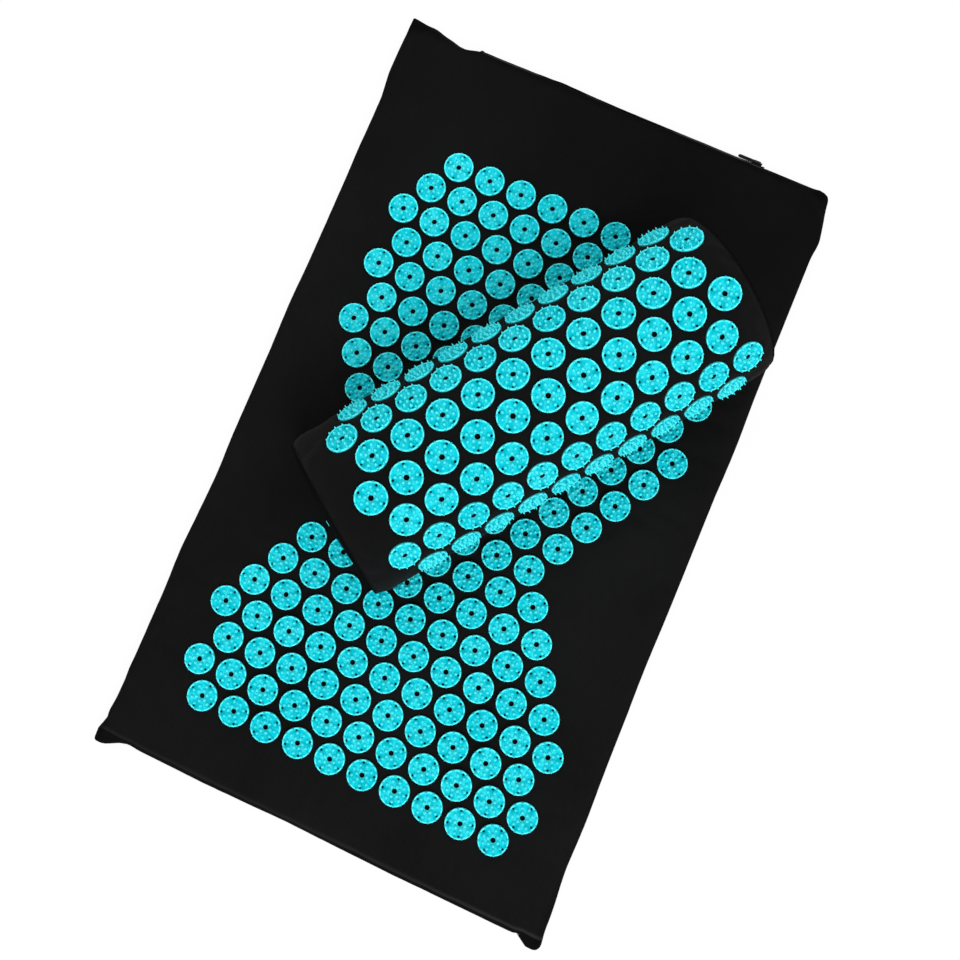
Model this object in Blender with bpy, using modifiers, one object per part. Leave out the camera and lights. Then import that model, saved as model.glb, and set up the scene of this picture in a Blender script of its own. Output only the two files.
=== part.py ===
"""Acupressure mat with its half-round neck pillow.

The mat is a foam pad in a sewn cotton cover that a zip closes in its far end wall. The pillow is a
foam core in a zipped cover of its own and lies loose across the mat. Moulded plastic discs cover
both in close hexagonal rows. A disc is a round plate with a centre hole and 27 spikes in three rings.
Eighteen discs are modelled spike by spike: the row along the pillow's crest and a rosette on the mat.
The others have the outline and height of a disc and are one body with the cover that carries them.

Metres, +Z up. The origin is the middle of the mat's underside, X runs across the mat and Y along it.
"""

import math

import bmesh
import bpy
from mathutils import Matrix, Vector

# Sizes that every sewn piece shares
COVER_WALL = 0.001
FIT_GAP = 0.0003
CUT_OVERRUN = 0.004
SMALLEST_STEP = 0.002

# Mat
MAT_WIDTH = 0.445
MAT_LENGTH = 0.750
MAT_THICKNESS = 0.020
MAT_UPRIGHT_WALL = 0.0104
MAT_EDGE_ROUND = 0.012
MAT_OUT_OF_SQUARE = math.radians(-1.67)
MAT_EAR_RUN = 0.026
MAT_EAR_TIP = 0.004
EAR_SHOULDER_RUN_SHARE = 0.5
EAR_SHOULDER_REACH_SHARE = 0.3
EAR_FADE_SHARE = 0.8
EDGE_ROUND_STEPS = 3
BASE_CORNER_STEPS = 3
ARC_STEPS = 400

# How far each corner's ear reaches past the sides, across the mat and along it
FAR_RIGHT_EAR_REACH = (-0.006, 0.001)
FAR_LEFT_EAR_REACH = (0.004, 0.006)
NEAR_LEFT_EAR_REACH = (0.005, 0.0085)
NEAR_RIGHT_EAR_REACH = (0.005, 0.007)

# Discs
DISC_WIDTH = 0.0285
DISC_SIDES = 10
DISC_TAPER = 0.0012
DISC_SINK = 0.0005
PLATE_THICKNESS = 0.002
PLATE_HOLE = 0.0050
PLATE_HOLE_SIDES = 8
RIM_HOLE = 0.0019
RIM_HOLE_SIDES = 5
RIM_HOLE_COUNT = 4
RIM_HOLE_SHARE = 0.81
SPIKE_HEIGHT = 0.003
SPIKE_FOOT = 0.0030
SPIKE_SINK = 0.0006
SPIKE_SIDES = 3
SPIKE_RING_COUNTS = (6, 9, 12)
SPIKE_RING_SHARES = (0.345, 0.64, 0.895)
SPIKE_RING_TURNS = (math.radians(30), math.radians(10), 0)
DISC_QUARTER_TURN_SHARE = 0.38

# Disc pattern on the mat
MAT_DISC_PITCH = 0.033
MAT_ROW_PITCH = 0.0292
MAT_ROWS = 20
WIDE_ROW_REACH = 10
WAIST_ROW = 8
WAIST_REACH = 5
ROSETTE_ROW = 3
MAT_PATTERN_ACROSS = 0.0065
MAT_PATTERN_ALONG = -0.0256
MAT_PATTERN_TURN = math.radians(-0.81)

# Pillow
PILLOW_LENGTH = 0.410
PILLOW_WIDTH = 0.159
PILLOW_HEIGHT = 0.101
PILLOW_WIDEST_HEIGHT = 0.029
PILLOW_FOOT_HEIGHT = 0.010
PILLOW_FOOT_DRAW = 0.003
PILLOW_CORE_ROOM = 0.0026
PILLOW_LEFT_END_LEAN = 0.0115
PILLOW_RIGHT_END_LEAN = 0.003
PILLOW_END_BULGE = 0.004
PILLOW_END_ROUND = 0.014
PILLOW_END_DRAW = 0.004
PILLOW_BASE_CORNER = 0.006
END_ROUND_SHARES = ((0.0, 0.0), (0.3, 0.7), (1.0, 1.0))
BULGE_RING_SHARES = (0.8, 0.45)
BULGE_HEIGHT_SHARES = (0.6, 1.0)
FOOT_SHOULDER_SHARE = 0.35
PILLOW_ACROSS = 0.0312
PILLOW_ALONG = 0.0629
PILLOW_TURN = math.radians(52.75)

# Disc pattern on the pillow
PILLOW_DISC_PITCH = 0.0335
PILLOW_ROW_PITCH = 0.0304
PILLOW_ROW_SLIP_SHARE = 0.036
PILLOW_OUTER_ROW = 3
PILLOW_END_MARGIN = 0.010
PILLOW_PATTERN_DROP = -0.0100
PILLOW_PATTERN_SHIFT = 0.0113

# Zips
MAT_ZIP_END_MARGIN = 0.0725
PILLOW_ZIP_END_MARGIN = 0.055
PILLOW_ZIP_HEIGHT = 0.016
ZIP_TAPE_WIDTH = 0.0037
ZIP_COIL_GAP = 0.0016
ZIP_COIL_WIDTH = 0.0012
ZIP_COIL_RISE = 0.0004
SLIDER_LENGTH = 0.010
SLIDER_WIDTH = 0.0076
SLIDER_WING = 0.001
SLIDER_WEB = 0.001
BRIDGE_LENGTH = 0.007
BRIDGE_WIDTH = 0.0016
BRIDGE_BAR = 0.001
BRIDGE_ROOM = 0.0016
TAB_LENGTH = 0.020
TAB_WIDTH = 0.005
TAB_THICKNESS = 0.001
TAB_EYE = 0.004
TAB_BAR = 0.001
STOP_LENGTH = 0.003
TAB_END_STEPS = 6

# Sizes that follow from the ones above
DISC_RADIUS = DISC_WIDTH / 2
DISC_HEIGHT = PLATE_THICKNESS + SPIKE_HEIGHT
MAT_MIDDLE = MAT_THICKNESS / 2
PILLOW_BASE = MAT_THICKNESS + DISC_HEIGHT + FIT_GAP
ZIP_TAPE_REACH = ZIP_COIL_GAP / 2 + ZIP_TAPE_WIDTH
CREST_RISE = PILLOW_HEIGHT - PILLOW_WIDEST_HEIGHT
MAT_ZIP_LENGTH = MAT_WIDTH - MAT_ZIP_END_MARGIN * 2
PILLOW_ZIP_LENGTH = PILLOW_LENGTH - PILLOW_ZIP_END_MARGIN * 2
HALF_RIM_SPIKE_TURN = math.pi / SPIKE_RING_COUNTS[-1]


def clear_scene():
    for obj in list(bpy.data.objects):
        bpy.data.objects.remove(obj, do_unlink=True)


clear_scene()
mat_collection = bpy.data.collections.new("acupressure_mat")
cutters = bpy.data.collections.new("cutters")
for collection in (mat_collection, cutters):
    bpy.context.scene.collection.children.link(collection)


def finish(name, colour, roughness, metallic=0.0):
    """A plain Principled material."""
    made = bpy.data.materials.new(name)
    made.use_nodes = True
    shader = made.node_tree.nodes["Principled BSDF"]
    shader.inputs["Base Color"].default_value = (*colour, 1.0)
    shader.inputs["Roughness"].default_value = roughness
    shader.inputs["Metallic"].default_value = metallic
    made.diffuse_color = (*colour, 1.0)
    return made


BLACK_COTTON = finish("black_cotton", (0.012, 0.012, 0.014), 0.95)
CYAN_PLASTIC = finish("cyan_plastic", (0.011, 0.70, 0.82), 0.35)
PALE_FOAM = finish("pale_foam", (0.80, 0.76, 0.62), 0.9)
ZIP_NYLON = finish("zip_nylon", (0.015, 0.015, 0.017), 0.6)
ZIP_METAL = finish("zip_metal", (0.02, 0.02, 0.022), 0.35, 0.0)


def place(name, shape, material, parent=None, at=(0, 0, 0)):
    """A named piece, from a mesh or a curve, in the mat's collection."""
    obj = bpy.data.objects.new(name, shape)
    obj.location = at
    obj.parent = parent
    if not shape.materials:
        shape.materials.append(material)
    mat_collection.objects.link(obj)
    return obj


def tool(name, mesh, material, parent=None, at=(0, 0, 0)):
    """A cutter or joiner: it shapes other pieces and is never rendered."""
    obj = bpy.data.objects.new(name, mesh)
    obj.location = at
    obj.parent = parent
    obj.hide_render = True
    obj.display_type = "WIRE"
    if not mesh.materials:
        mesh.materials.append(material)
    cutters.objects.link(obj)
    return obj


def frame(name, at, turn=0.0, parent=None):
    """An empty that carries pieces."""
    obj = bpy.data.objects.new(name, None)
    obj.location = at
    obj.rotation_euler = (0, 0, turn)
    obj.parent = parent
    mat_collection.objects.link(obj)
    return obj


def skin(name, rings, closed, first_cap=False, last_cap=False):
    """A surface through rings of points, with as many points in each."""
    bm = bmesh.new()
    rows = [[bm.verts.new(point) for point in ring] for ring in rings]
    count = len(rows[0])
    for low, high in zip(rows, rows[1:]):
        for i in range(count if closed else count - 1):
            j = (i + 1) % count
            bm.faces.new((low[i], low[j], high[j], high[i]))
    if first_cap:
        bm.faces.new(list(reversed(rows[0])))
    if last_cap:
        bm.faces.new(rows[-1])
    mesh = bpy.data.meshes.new(name)
    bm.to_mesh(mesh)
    bm.free()
    return mesh


def prism(name, outline, length):
    """An outline in the YZ plane, drawn out along X and centred on it."""
    start = [(-length / 2, y, z) for y, z in outline]
    end = [(length / 2, y, z) for y, z in outline]
    mesh = skin(name, (start, end), closed=True, first_cap=True, last_cap=True)
    return outward(mesh)


def upright_prism(name, outline, floor, top):
    """An outline in the XY plane, drawn up from one height to another."""
    low = [(x, y, floor) for x, y in outline]
    high = [(x, y, top) for x, y in outline]
    return outward(skin(name, (low, high), closed=True, first_cap=True, last_cap=True))


def outward(mesh):
    """The same mesh with its faces turned outwards."""
    bm = bmesh.new()
    bm.from_mesh(mesh)
    bmesh.ops.recalc_face_normals(bm, faces=bm.faces)
    bm.to_mesh(mesh)
    bm.free()
    return mesh


def block(name, size, centre=(0, 0, 0)):
    """A box of this size round a centre."""
    bm = bmesh.new()
    bmesh.ops.create_cube(bm, size=1)
    bmesh.ops.scale(bm, vec=size, verts=bm.verts)
    bmesh.ops.translate(bm, vec=centre, verts=bm.verts)
    mesh = bpy.data.meshes.new(name)
    bm.to_mesh(mesh)
    bm.free()
    return mesh


def add_wall(obj):
    """Gives an open surface the cover's wall, inwards from its outer face."""
    wall = obj.modifiers.new("cotton_wall", "SOLIDIFY")
    wall.thickness = COVER_WALL
    wall.offset = -1
    wall.use_even_offset = True


def combine(obj, other, operation):
    """Joins or cuts one piece by another."""
    join = obj.modifiers.new(other.name, "BOOLEAN")
    join.operation = operation
    join.object = other
    join.material_mode = "TRANSFER"


def frozen(obj):
    """The mesh of an object as its modifiers leave it."""
    graph = bpy.context.evaluated_depsgraph_get()
    return bpy.data.meshes.new_from_object(obj.evaluated_get(graph))


# Discs


def cone(bm, sides, low_radius, high_radius, low, high, matrix):
    """A closed cone, or a frustum, between two heights."""
    made = bmesh.ops.create_cone(
        bm, cap_ends=True, segments=sides, radius1=low_radius, radius2=high_radius, depth=high - low
    )
    bmesh.ops.translate(bm, vec=(0, 0, (low + high) / 2), verts=made["verts"])
    bmesh.ops.transform(bm, matrix=matrix, verts=made["verts"])


def disc_stud(bm, matrix):
    """The outline and height of a disc, sunk into the cover that it is joined to."""
    narrow = DISC_RADIUS - DISC_TAPER
    cone(bm, DISC_SIDES, DISC_RADIUS, narrow, -DISC_SINK, DISC_HEIGHT, matrix)


def disc_field(name, matrices, parent=None):
    """A joiner that holds every plain disc of one cover."""
    bm = bmesh.new()
    for matrix in matrices:
        disc_stud(bm, matrix)
    mesh = bpy.data.meshes.new(name)
    bm.to_mesh(mesh)
    bm.free()
    return tool(name, mesh, CYAN_PLASTIC, parent)


def spiked_disc_mesh():
    """A plate with a centre hole, four rim holes and three rings of spikes.

    The plate has one vertex at each rim spike, and its rim holes lie between two such spikes.
    """
    upright = Matrix.Identity(4)
    bm = bmesh.new()
    cone(bm, SPIKE_RING_COUNTS[-1], DISC_RADIUS, DISC_RADIUS, 0, PLATE_THICKNESS, upright)
    plate = tool("disc_plate", bpy.data.meshes.new("disc_plate"), CYAN_PLASTIC)
    bm.to_mesh(plate.data)
    bm.clear()
    for count, share, start in zip(SPIKE_RING_COUNTS, SPIKE_RING_SHARES, SPIKE_RING_TURNS):
        for step in range(count):
            turned = Matrix.Rotation(start + math.tau * step / count, 4, "Z")
            moved = turned @ Matrix.Translation((DISC_RADIUS * share, 0, 0))
            foot = PLATE_THICKNESS - SPIKE_SINK
            cone(bm, SPIKE_SIDES, SPIKE_FOOT / 2, 0, foot, DISC_HEIGHT, moved)
    spikes = tool("disc_spikes", bpy.data.meshes.new("disc_spikes"), CYAN_PLASTIC)
    bm.to_mesh(spikes.data)
    bm.clear()
    low, high = -CUT_OVERRUN, PLATE_THICKNESS + CUT_OVERRUN
    cone(bm, PLATE_HOLE_SIDES, PLATE_HOLE / 2, PLATE_HOLE / 2, low, high, upright)
    for step in range(RIM_HOLE_COUNT):
        turned = Matrix.Rotation(HALF_RIM_SPIKE_TURN + math.tau * step / RIM_HOLE_COUNT, 4, "Z")
        moved = turned @ Matrix.Translation((DISC_RADIUS * RIM_HOLE_SHARE, 0, 0))
        cone(bm, RIM_HOLE_SIDES, RIM_HOLE / 2, RIM_HOLE / 2, low, high, moved)
    holes = tool("disc_holes", bpy.data.meshes.new("disc_holes"), CYAN_PLASTIC)
    bm.to_mesh(holes.data)
    bm.free()
    combine(plate, spikes, "UNION")
    combine(plate, holes, "DIFFERENCE")
    mesh = frozen(plate)
    mesh.name = "spiked_disc"
    for obj in (plate, spikes, holes):
        bpy.data.objects.remove(obj, do_unlink=True)
    return mesh


SPIKED_DISC = spiked_disc_mesh()


def place_spiked_discs(prefix, matrices, parent=None):
    """One piece for each disc, seated just clear of its cover and turned a little further than the last."""
    for index, matrix in enumerate(matrices):
        turn = Matrix.Rotation(math.pi / 2 * DISC_QUARTER_TURN_SHARE * index, 4, "Z")
        seat = Matrix.Translation((0, 0, FIT_GAP))
        obj = place(f"{prefix}_{index + 1:02d}", SPIKED_DISC, CYAN_PLASTIC, parent)
        obj.matrix_local = matrix @ seat @ turn


# Zips


def mirrored_outline(half):
    """A closed outline from its upper half, given from -Y to +Y, and that half's mirror image below."""
    return half + [(y, -z) for y, z in reversed(half)]


def i_section(web_height, wing_height, inner, outer, wing):
    """A section with a web that spans the tapes, between two wings that lie either side of them."""
    return mirrored_outline(
        [
            (inner - wing, wing_height / 2),
            (inner, wing_height / 2),
            (inner, web_height / 2),
            (outer, web_height / 2),
            (outer, wing_height / 2),
            (outer + wing, wing_height / 2),
        ]
    )


def bridge_outline(foot):
    """The slider's bridge in the XY plane: an arch that stands on the outer wing."""
    reach = BRIDGE_LENGTH / 2
    inside = reach - BRIDGE_BAR
    root = foot - SLIDER_WING / 2
    room = foot + BRIDGE_ROOM
    top = room + BRIDGE_BAR
    return [
        (-reach, root), (-inside, root), (-inside, room), (inside, room),
        (inside, root), (reach, root), (reach, top), (-reach, top),
    ]


def pull_tab_curve(name):
    """A flat tab with an eye. Its near bar lies on the hinge, and the tab runs towards -X."""
    curve = bpy.data.curves.new(name, "CURVE")
    curve.dimensions = "2D"
    curve.fill_mode = "BOTH"
    curve.extrude = TAB_THICKNESS / 2
    half = TAB_WIDTH / 2
    straight = TAB_BAR / 2 - TAB_LENGTH + half
    turns = [math.pi * step / TAB_END_STEPS for step in range(TAB_END_STEPS + 1)]
    rounded = [(straight - half * math.sin(turn), half * math.cos(turn)) for turn in turns]
    outer = [(TAB_BAR / 2, half), *rounded, (TAB_BAR / 2, -half)]
    side = BRIDGE_WIDTH / 2 + FIT_GAP
    eye_end = -TAB_BAR / 2 - TAB_EYE
    eye = [(-TAB_BAR / 2, side), (-TAB_BAR / 2, -side), (eye_end, -side), (eye_end, side)]
    for outline in (outer, eye):
        spline = curve.splines.new("POLY")
        spline.points.add(len(outline) - 1)
        for point, (x, y) in zip(spline.points, outline):
            point.co = (x, y, 0, 1)
        spline.use_cyclic_u = True
    return curve


def zip_window(name, length, line):
    """The opening that the tapes fill."""
    size = (length, COVER_WALL + CUT_OVERRUN * 2, ZIP_TAPE_REACH * 2 + FIT_GAP * 2)
    return tool(name, block(name, size), BLACK_COTTON, line)


def zip_set(prefix, length, line):
    """Two tapes, two stops, a slider and its tab. X runs along the zip, and Y points out of the cover."""
    near, far = ZIP_COIL_GAP / 2, ZIP_TAPE_REACH
    coil = near + ZIP_COIL_WIDTH
    tape = [
        (-COVER_WALL, near), (ZIP_COIL_RISE, near), (ZIP_COIL_RISE, coil),
        (0, coil), (0, far), (-COVER_WALL, far),
    ]
    tape_length = length - FIT_GAP * 2
    for side, sign in (("upper", 1), ("lower", -1)):
        name = f"{prefix}_tape_{side}"
        place(name, prism(name, [(y, z * sign) for y, z in tape], tape_length), ZIP_NYLON, line)

    inner, outer = -COVER_WALL - FIT_GAP, ZIP_COIL_RISE + FIT_GAP
    section = i_section(SLIDER_WEB, SLIDER_WIDTH, inner, outer, SLIDER_WING)
    stop_at = length / 2 - FIT_GAP - STOP_LENGTH / 2
    coils = ZIP_COIL_GAP + ZIP_COIL_WIDTH * 2
    stop_section = i_section(SLIDER_WEB, coils, inner, outer, SLIDER_WING / 2)
    for side, x in (("left", -stop_at), ("right", stop_at)):
        name = f"{prefix}_stop_{side}"
        place(name, prism(name, stop_section, STOP_LENGTH), ZIP_METAL, line, (x, 0, 0))

    rest = stop_at - STOP_LENGTH / 2 - FIT_GAP - SLIDER_LENGTH / 2
    name = f"{prefix}_slider"
    slider = place(name, prism(name, section, SLIDER_LENGTH), ZIP_METAL, line, (rest, 0, 0))
    foot = outer + SLIDER_WING
    name = f"{prefix}_bridge"
    bridge = upright_prism(name, bridge_outline(foot), -BRIDGE_WIDTH / 2, BRIDGE_WIDTH / 2)
    combine(slider, tool(name, bridge, ZIP_METAL, slider), "UNION")

    pin = (0, foot + BRIDGE_ROOM / 2, 0)
    name = f"{prefix}_pull_tab"
    tab = place(name, pull_tab_curve(name), ZIP_METAL, slider, pin)
    tab.rotation_euler = (math.pi / 2, 0, 0)


# Mat


def out_of_square(x, y):
    """Where a point of the squared-up mat lies: the ends slant a little as they cross the mat."""
    return x, y + x * math.tan(MAT_OUT_OF_SQUARE)


def mat_ear(half_x, half_y, reach_x, reach_y):
    """One corner in the first quadrant, from its side round the blunt tip to its end."""
    shoulder_run = MAT_EAR_RUN * EAR_SHOULDER_RUN_SHARE
    share = EAR_SHOULDER_REACH_SHARE
    return [
        (half_x, half_y - MAT_EAR_RUN),
        (half_x + reach_x * share, half_y - shoulder_run),
        (half_x + reach_x, half_y + reach_y - MAT_EAR_TIP),
        (half_x + reach_x - MAT_EAR_TIP, half_y + reach_y),
        (half_x - shoulder_run, half_y + reach_y * share),
        (half_x - MAT_EAR_RUN, half_y),
    ]


def mat_outline(inset, height):
    """The mat's outline at one inset: four sides, and a dog-ear that fades towards the flat top and base."""
    half_x, half_y = MAT_WIDTH / 2 - inset, MAT_LENGTH / 2 - inset
    full = 1 - EAR_FADE_SHARE * inset / MAT_EDGE_ROUND
    corners = (
        (1, 1, FAR_RIGHT_EAR_REACH),
        (-1, 1, FAR_LEFT_EAR_REACH),
        (-1, -1, NEAR_LEFT_EAR_REACH),
        (1, -1, NEAR_RIGHT_EAR_REACH),
    )
    outline = []
    for sign_x, sign_y, (reach_x, reach_y) in corners:
        ear = mat_ear(half_x, half_y, reach_x * full, reach_y * full)
        if sign_x * sign_y < 0:
            ear.reverse()
        outline += [(*out_of_square(x * sign_x, y * sign_y), height) for x, y in ear]
    return outline


def rounded_rings(inset, floor, reach):
    """Rings from the side's middle up to the top: an upright stretch, then a quarter of an ellipse."""
    upright = MAT_UPRIGHT_WALL / 2
    rings = [(inset, floor)]
    for step in range(EDGE_ROUND_STEPS + 1):
        angle = math.pi / 2 * step / EDGE_ROUND_STEPS
        drawn = inset + (MAT_EDGE_ROUND - inset) * (1 - math.cos(angle))
        rings.append((drawn, upright + (reach - upright) * math.sin(angle)))
    return rings


def mat_tray(name, sign):
    """Half of the cover, open at the mat's mid height: the top panel or the bottom panel with its walls."""
    rings = rounded_rings(0, FIT_GAP / 2, MAT_MIDDLE)
    levels = [mat_outline(inset, MAT_MIDDLE + sign * height) for inset, height in rings]
    if sign < 0:
        levels.reverse()
    mesh = skin(name, levels, closed=True, first_cap=sign < 0, last_cap=sign > 0)
    tray = place(name, mesh, BLACK_COTTON)
    add_wall(tray)
    return tray


def mat_foam():
    """The pad inside, with room for the slider's inner wing."""
    inset = COVER_WALL + SLIDER_WING + FIT_GAP * 2
    reach = MAT_MIDDLE - COVER_WALL - FIT_GAP
    half = [(drawn, height) for drawn, height in rounded_rings(inset, 0, reach)]
    rings = [(drawn, -height) for drawn, height in reversed(half[1:])] + half[1:]
    levels = [mat_outline(drawn, MAT_MIDDLE + height) for drawn, height in rings]
    pad = skin("mat_foam_pad", levels, closed=True, first_cap=True, last_cap=True)
    place("mat_foam_pad", pad, PALE_FOAM)


def row_reach(row):
    """Half pitches from a row's middle to its end: ten and eleven discs by turns, fewer at the waist."""
    widest = WIDE_ROW_REACH - (row + 1) % 2
    if row == MAT_ROWS - 1:
        widest -= 2
    return min(widest, WAIST_REACH + abs(row - WAIST_ROW))


def mat_disc_places():
    """Disc places as (row, half pitch, matrix). A disc that would run off the flat top is left out."""
    turned = Matrix.Rotation(MAT_PATTERN_TURN, 4, "Z")
    pattern = Matrix.Translation((MAT_PATTERN_ACROSS, MAT_PATTERN_ALONG, MAT_THICKNESS)) @ turned
    room_x = MAT_WIDTH / 2 - MAT_EDGE_ROUND - DISC_RADIUS
    room_y = MAT_LENGTH / 2 - MAT_EDGE_ROUND - DISC_RADIUS
    found = []
    for row in range(MAT_ROWS):
        reach = row_reach(row)
        for half_step in range(-reach, reach + 1, 2):
            across = half_step * MAT_DISC_PITCH / 2
            along = (row - (MAT_ROWS - 1) / 2) * MAT_ROW_PITCH
            matrix = pattern @ Matrix.Translation((across, along, 0))
            x, y, z = matrix.translation
            if abs(x) <= room_x and abs(y) <= room_y:
                matrix.translation = (*out_of_square(x, y), z)
                found.append((row, half_step, matrix))
    return found


def in_rosette(row, half_step):
    """The rosette's middle disc and the six round it."""
    aside = abs(row - ROSETTE_ROW)
    start = (WIDE_ROW_REACH + ROSETTE_ROW + 1) % 2
    return aside <= 1 and abs(half_step - start) <= 2 - aside


def build_mat():
    top = mat_tray("mat_cover_top", 1)
    bottom = mat_tray("mat_cover_bottom", -1)
    mat_foam()
    places = mat_disc_places()
    plain = [matrix for row, half_step, matrix in places if not in_rosette(row, half_step)]
    spiked = [matrix for row, half_step, matrix in places if in_rosette(row, half_step)]
    combine(top, disc_field("mat_plain_discs", plain), "UNION")
    place_spiked_discs("mat_spike_disc", spiked)
    line = frame("mat_zip_line", (0, MAT_LENGTH / 2, MAT_MIDDLE), MAT_OUT_OF_SQUARE)
    window = zip_window("mat_zip_window", MAT_ZIP_LENGTH, line)
    for tray in (top, bottom):
        combine(tray, window, "DIFFERENCE")
    zip_set("mat_zip", MAT_ZIP_LENGTH, line)


# Pillow


def crest_angles():
    """Ellipse angle and length of arc from the crest, in small steps down to the pillow's widest level."""
    half_width = PILLOW_WIDTH / 2
    angles, arcs = [0.0], [0.0]
    for step in range(1, ARC_STEPS + 1):
        angle = math.pi / 2 * step / ARC_STEPS
        before = angles[-1]
        side = half_width * (math.sin(angle) - math.sin(before))
        drop = CREST_RISE * (math.cos(angle) - math.cos(before))
        angles.append(angle)
        arcs.append(arcs[-1] + math.hypot(side, drop))
    return angles, arcs


CREST_ANGLES, CREST_ARCS = crest_angles()


def crest_angle(arc):
    """The ellipse angle at this length of arc from the crest, negative on the near side."""
    run = min(abs(arc), CREST_ARCS[-1])
    above = next(i for i, value in enumerate(CREST_ARCS) if value >= run)
    below = max(above - 1, 0)
    span = CREST_ARCS[above] - CREST_ARCS[below]
    share = (run - CREST_ARCS[below]) / span if span else 0
    angle = CREST_ANGLES[below] + (CREST_ANGLES[above] - CREST_ANGLES[below]) * share
    return math.copysign(angle, arc)


def row_arc(row):
    """Length of arc from the crest to a row of discs. The pattern is turned towards the near side."""
    return PILLOW_PATTERN_DROP + row * PILLOW_ROW_PITCH


def profile_angles():
    """Ellipse angles of the profile's corners, one facet for each row of discs."""
    widest = CREST_ARCS[-1]
    first, last = -PILLOW_OUTER_ROW, PILLOW_OUTER_ROW + 1
    arcs = [row_arc(row) - PILLOW_ROW_PITCH / 2 for row in range(first, last + 1)]
    inside = [arc for arc in arcs if abs(arc) < widest - SMALLEST_STEP]
    below = (inside[-1] + widest) / 2
    return [-math.pi / 2] + [crest_angle(arc) for arc in (*inside, below)] + [math.pi / 2]


PROFILE_ANGLES = profile_angles()


def section_point(angle, inset):
    """A point of the domed part of the section, drawn in by an inset."""
    half_width, rise = PILLOW_WIDTH / 2 - inset, CREST_RISE - inset
    return half_width * math.sin(angle), PILLOW_WIDEST_HEIGHT + rise * math.cos(angle)


def pillow_profile(inset, floor):
    """The section from the near foot over the crest to the far foot, as (across, height)."""
    half_width = PILLOW_WIDTH / 2 - inset
    shoulder = floor + (PILLOW_FOOT_HEIGHT - floor) * FOOT_SHOULDER_SHARE
    foot = [
        (half_width - PILLOW_FOOT_DRAW, floor),
        (half_width - PILLOW_FOOT_DRAW * FOOT_SHOULDER_SHARE, shoulder),
        (half_width, PILLOW_FOOT_HEIGHT),
    ]
    near = [(-u, z) for u, z in foot]
    far = list(reversed(foot))
    return near + [section_point(angle, inset) for angle in PROFILE_ANGLES] + far


def end_lean(end):
    """How far the crest leans in at this end, right or left."""
    return PILLOW_RIGHT_END_LEAN if end > 0 else PILLOW_LEFT_END_LEAN


def pillow_ring(profile, end, share, floor):
    """The profile at one station. The ends lean in with height, and their section is drawn in a little."""
    draw = 1 - PILLOW_END_DRAW / PILLOW_HEIGHT * (1 - share)
    points = []
    for u, z in profile:
        height = floor + (z - floor) * draw
        lean = end_lean(end) * height / PILLOW_HEIGHT
        points.append((math.copysign(abs(end) - lean, end), u * draw, height))
    return points


def pillow_stations(half_length):
    """Stations from +X to -X as (x, how much of the full section is reached)."""
    right = [(half_length - PILLOW_END_ROUND * run, share) for run, share in END_ROUND_SHARES]
    return right + [(-x, share) for x, share in reversed(right)]


def pillow_skin(name, profile, half_length, floor, closed):
    """A lofted skin through every station, capped at its ends where its profile is closed."""
    rings = [pillow_ring(profile, x, share, floor) for x, share in pillow_stations(half_length)]
    return skin(name, rings, closed=closed, first_cap=closed, last_cap=closed)


def end_panel(name, sign, parent):
    """A D-shaped end panel that bulges outwards a little."""
    floor = COVER_WALL + FIT_GAP
    profile = pillow_profile(0, floor)
    rim = pillow_ring(profile, sign * PILLOW_LENGTH / 2, 0.0, floor)
    middle = sum((Vector(point) for point in rim), Vector()) / len(rim)
    out = Vector((sign, 0, end_lean(sign) / PILLOW_HEIGHT)).normalized()
    rings = [rim]
    for shrink, rise in zip(BULGE_RING_SHARES, BULGE_HEIGHT_SHARES):
        lift = out * PILLOW_END_BULGE * rise
        rings.append([middle + (Vector(point) - middle) * shrink + lift for point in rim])
    if sign > 0:
        rings = [list(reversed(ring)) for ring in rings]
    panel = place(name, skin(name, rings, closed=True, last_cap=True), BLACK_COTTON, parent)
    add_wall(panel)


def base_panel(parent):
    """The flat base with rounded corners."""
    half_x, half_y = PILLOW_LENGTH / 2, PILLOW_WIDTH / 2 - PILLOW_FOOT_DRAW
    corner = PILLOW_BASE_CORNER
    outline = []
    for sign_x, sign_y, start in ((1, 1, 0), (-1, 1, 1), (-1, -1, 2), (1, -1, 3)):
        for step in range(BASE_CORNER_STEPS + 1):
            angle = math.pi / 2 * (start + step / BASE_CORNER_STEPS)
            x = sign_x * (half_x - corner) + corner * math.cos(angle)
            y = sign_y * (half_y - corner) + corner * math.sin(angle)
            outline.append((x, y))
    mesh = upright_prism("pillow_base_panel", outline, 0, COVER_WALL)
    place("pillow_base_panel", mesh, BLACK_COTTON, parent)


def pillow_disc_places():
    """Disc places as (row, matrix), each flat on the facet of its row."""
    half_room = PILLOW_LENGTH / 2 - PILLOW_END_MARGIN - DISC_RADIUS - abs(PILLOW_PATTERN_SHIFT)
    full_count = 1 + int(half_room * 2 / PILLOW_DISC_PITCH)
    found = []
    for row in range(-PILLOW_OUTER_ROW, PILLOW_OUTER_ROW + 1):
        start, end = row_arc(row) - PILLOW_ROW_PITCH / 2, row_arc(row) + PILLOW_ROW_PITCH / 2
        if max(abs(start), abs(end)) >= CREST_ARCS[-1] - SMALLEST_STEP:
            continue
        low, high = (Vector((0, *section_point(crest_angle(arc), 0))) for arc in (start, end))
        tilt = math.atan2(low.z - high.z, high.y - low.y)
        middle = (low + high) / 2
        slip = PILLOW_PATTERN_SHIFT + PILLOW_ROW_SLIP_SHARE * middle.y
        count = full_count - abs(row) % 2
        for index in range(count):
            along = slip + (index - (count - 1) / 2) * PILLOW_DISC_PITCH
            at = Matrix.Translation((along, middle.y, middle.z))
            found.append((row, at @ Matrix.Rotation(-tilt, 4, "X")))
    return found


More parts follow.
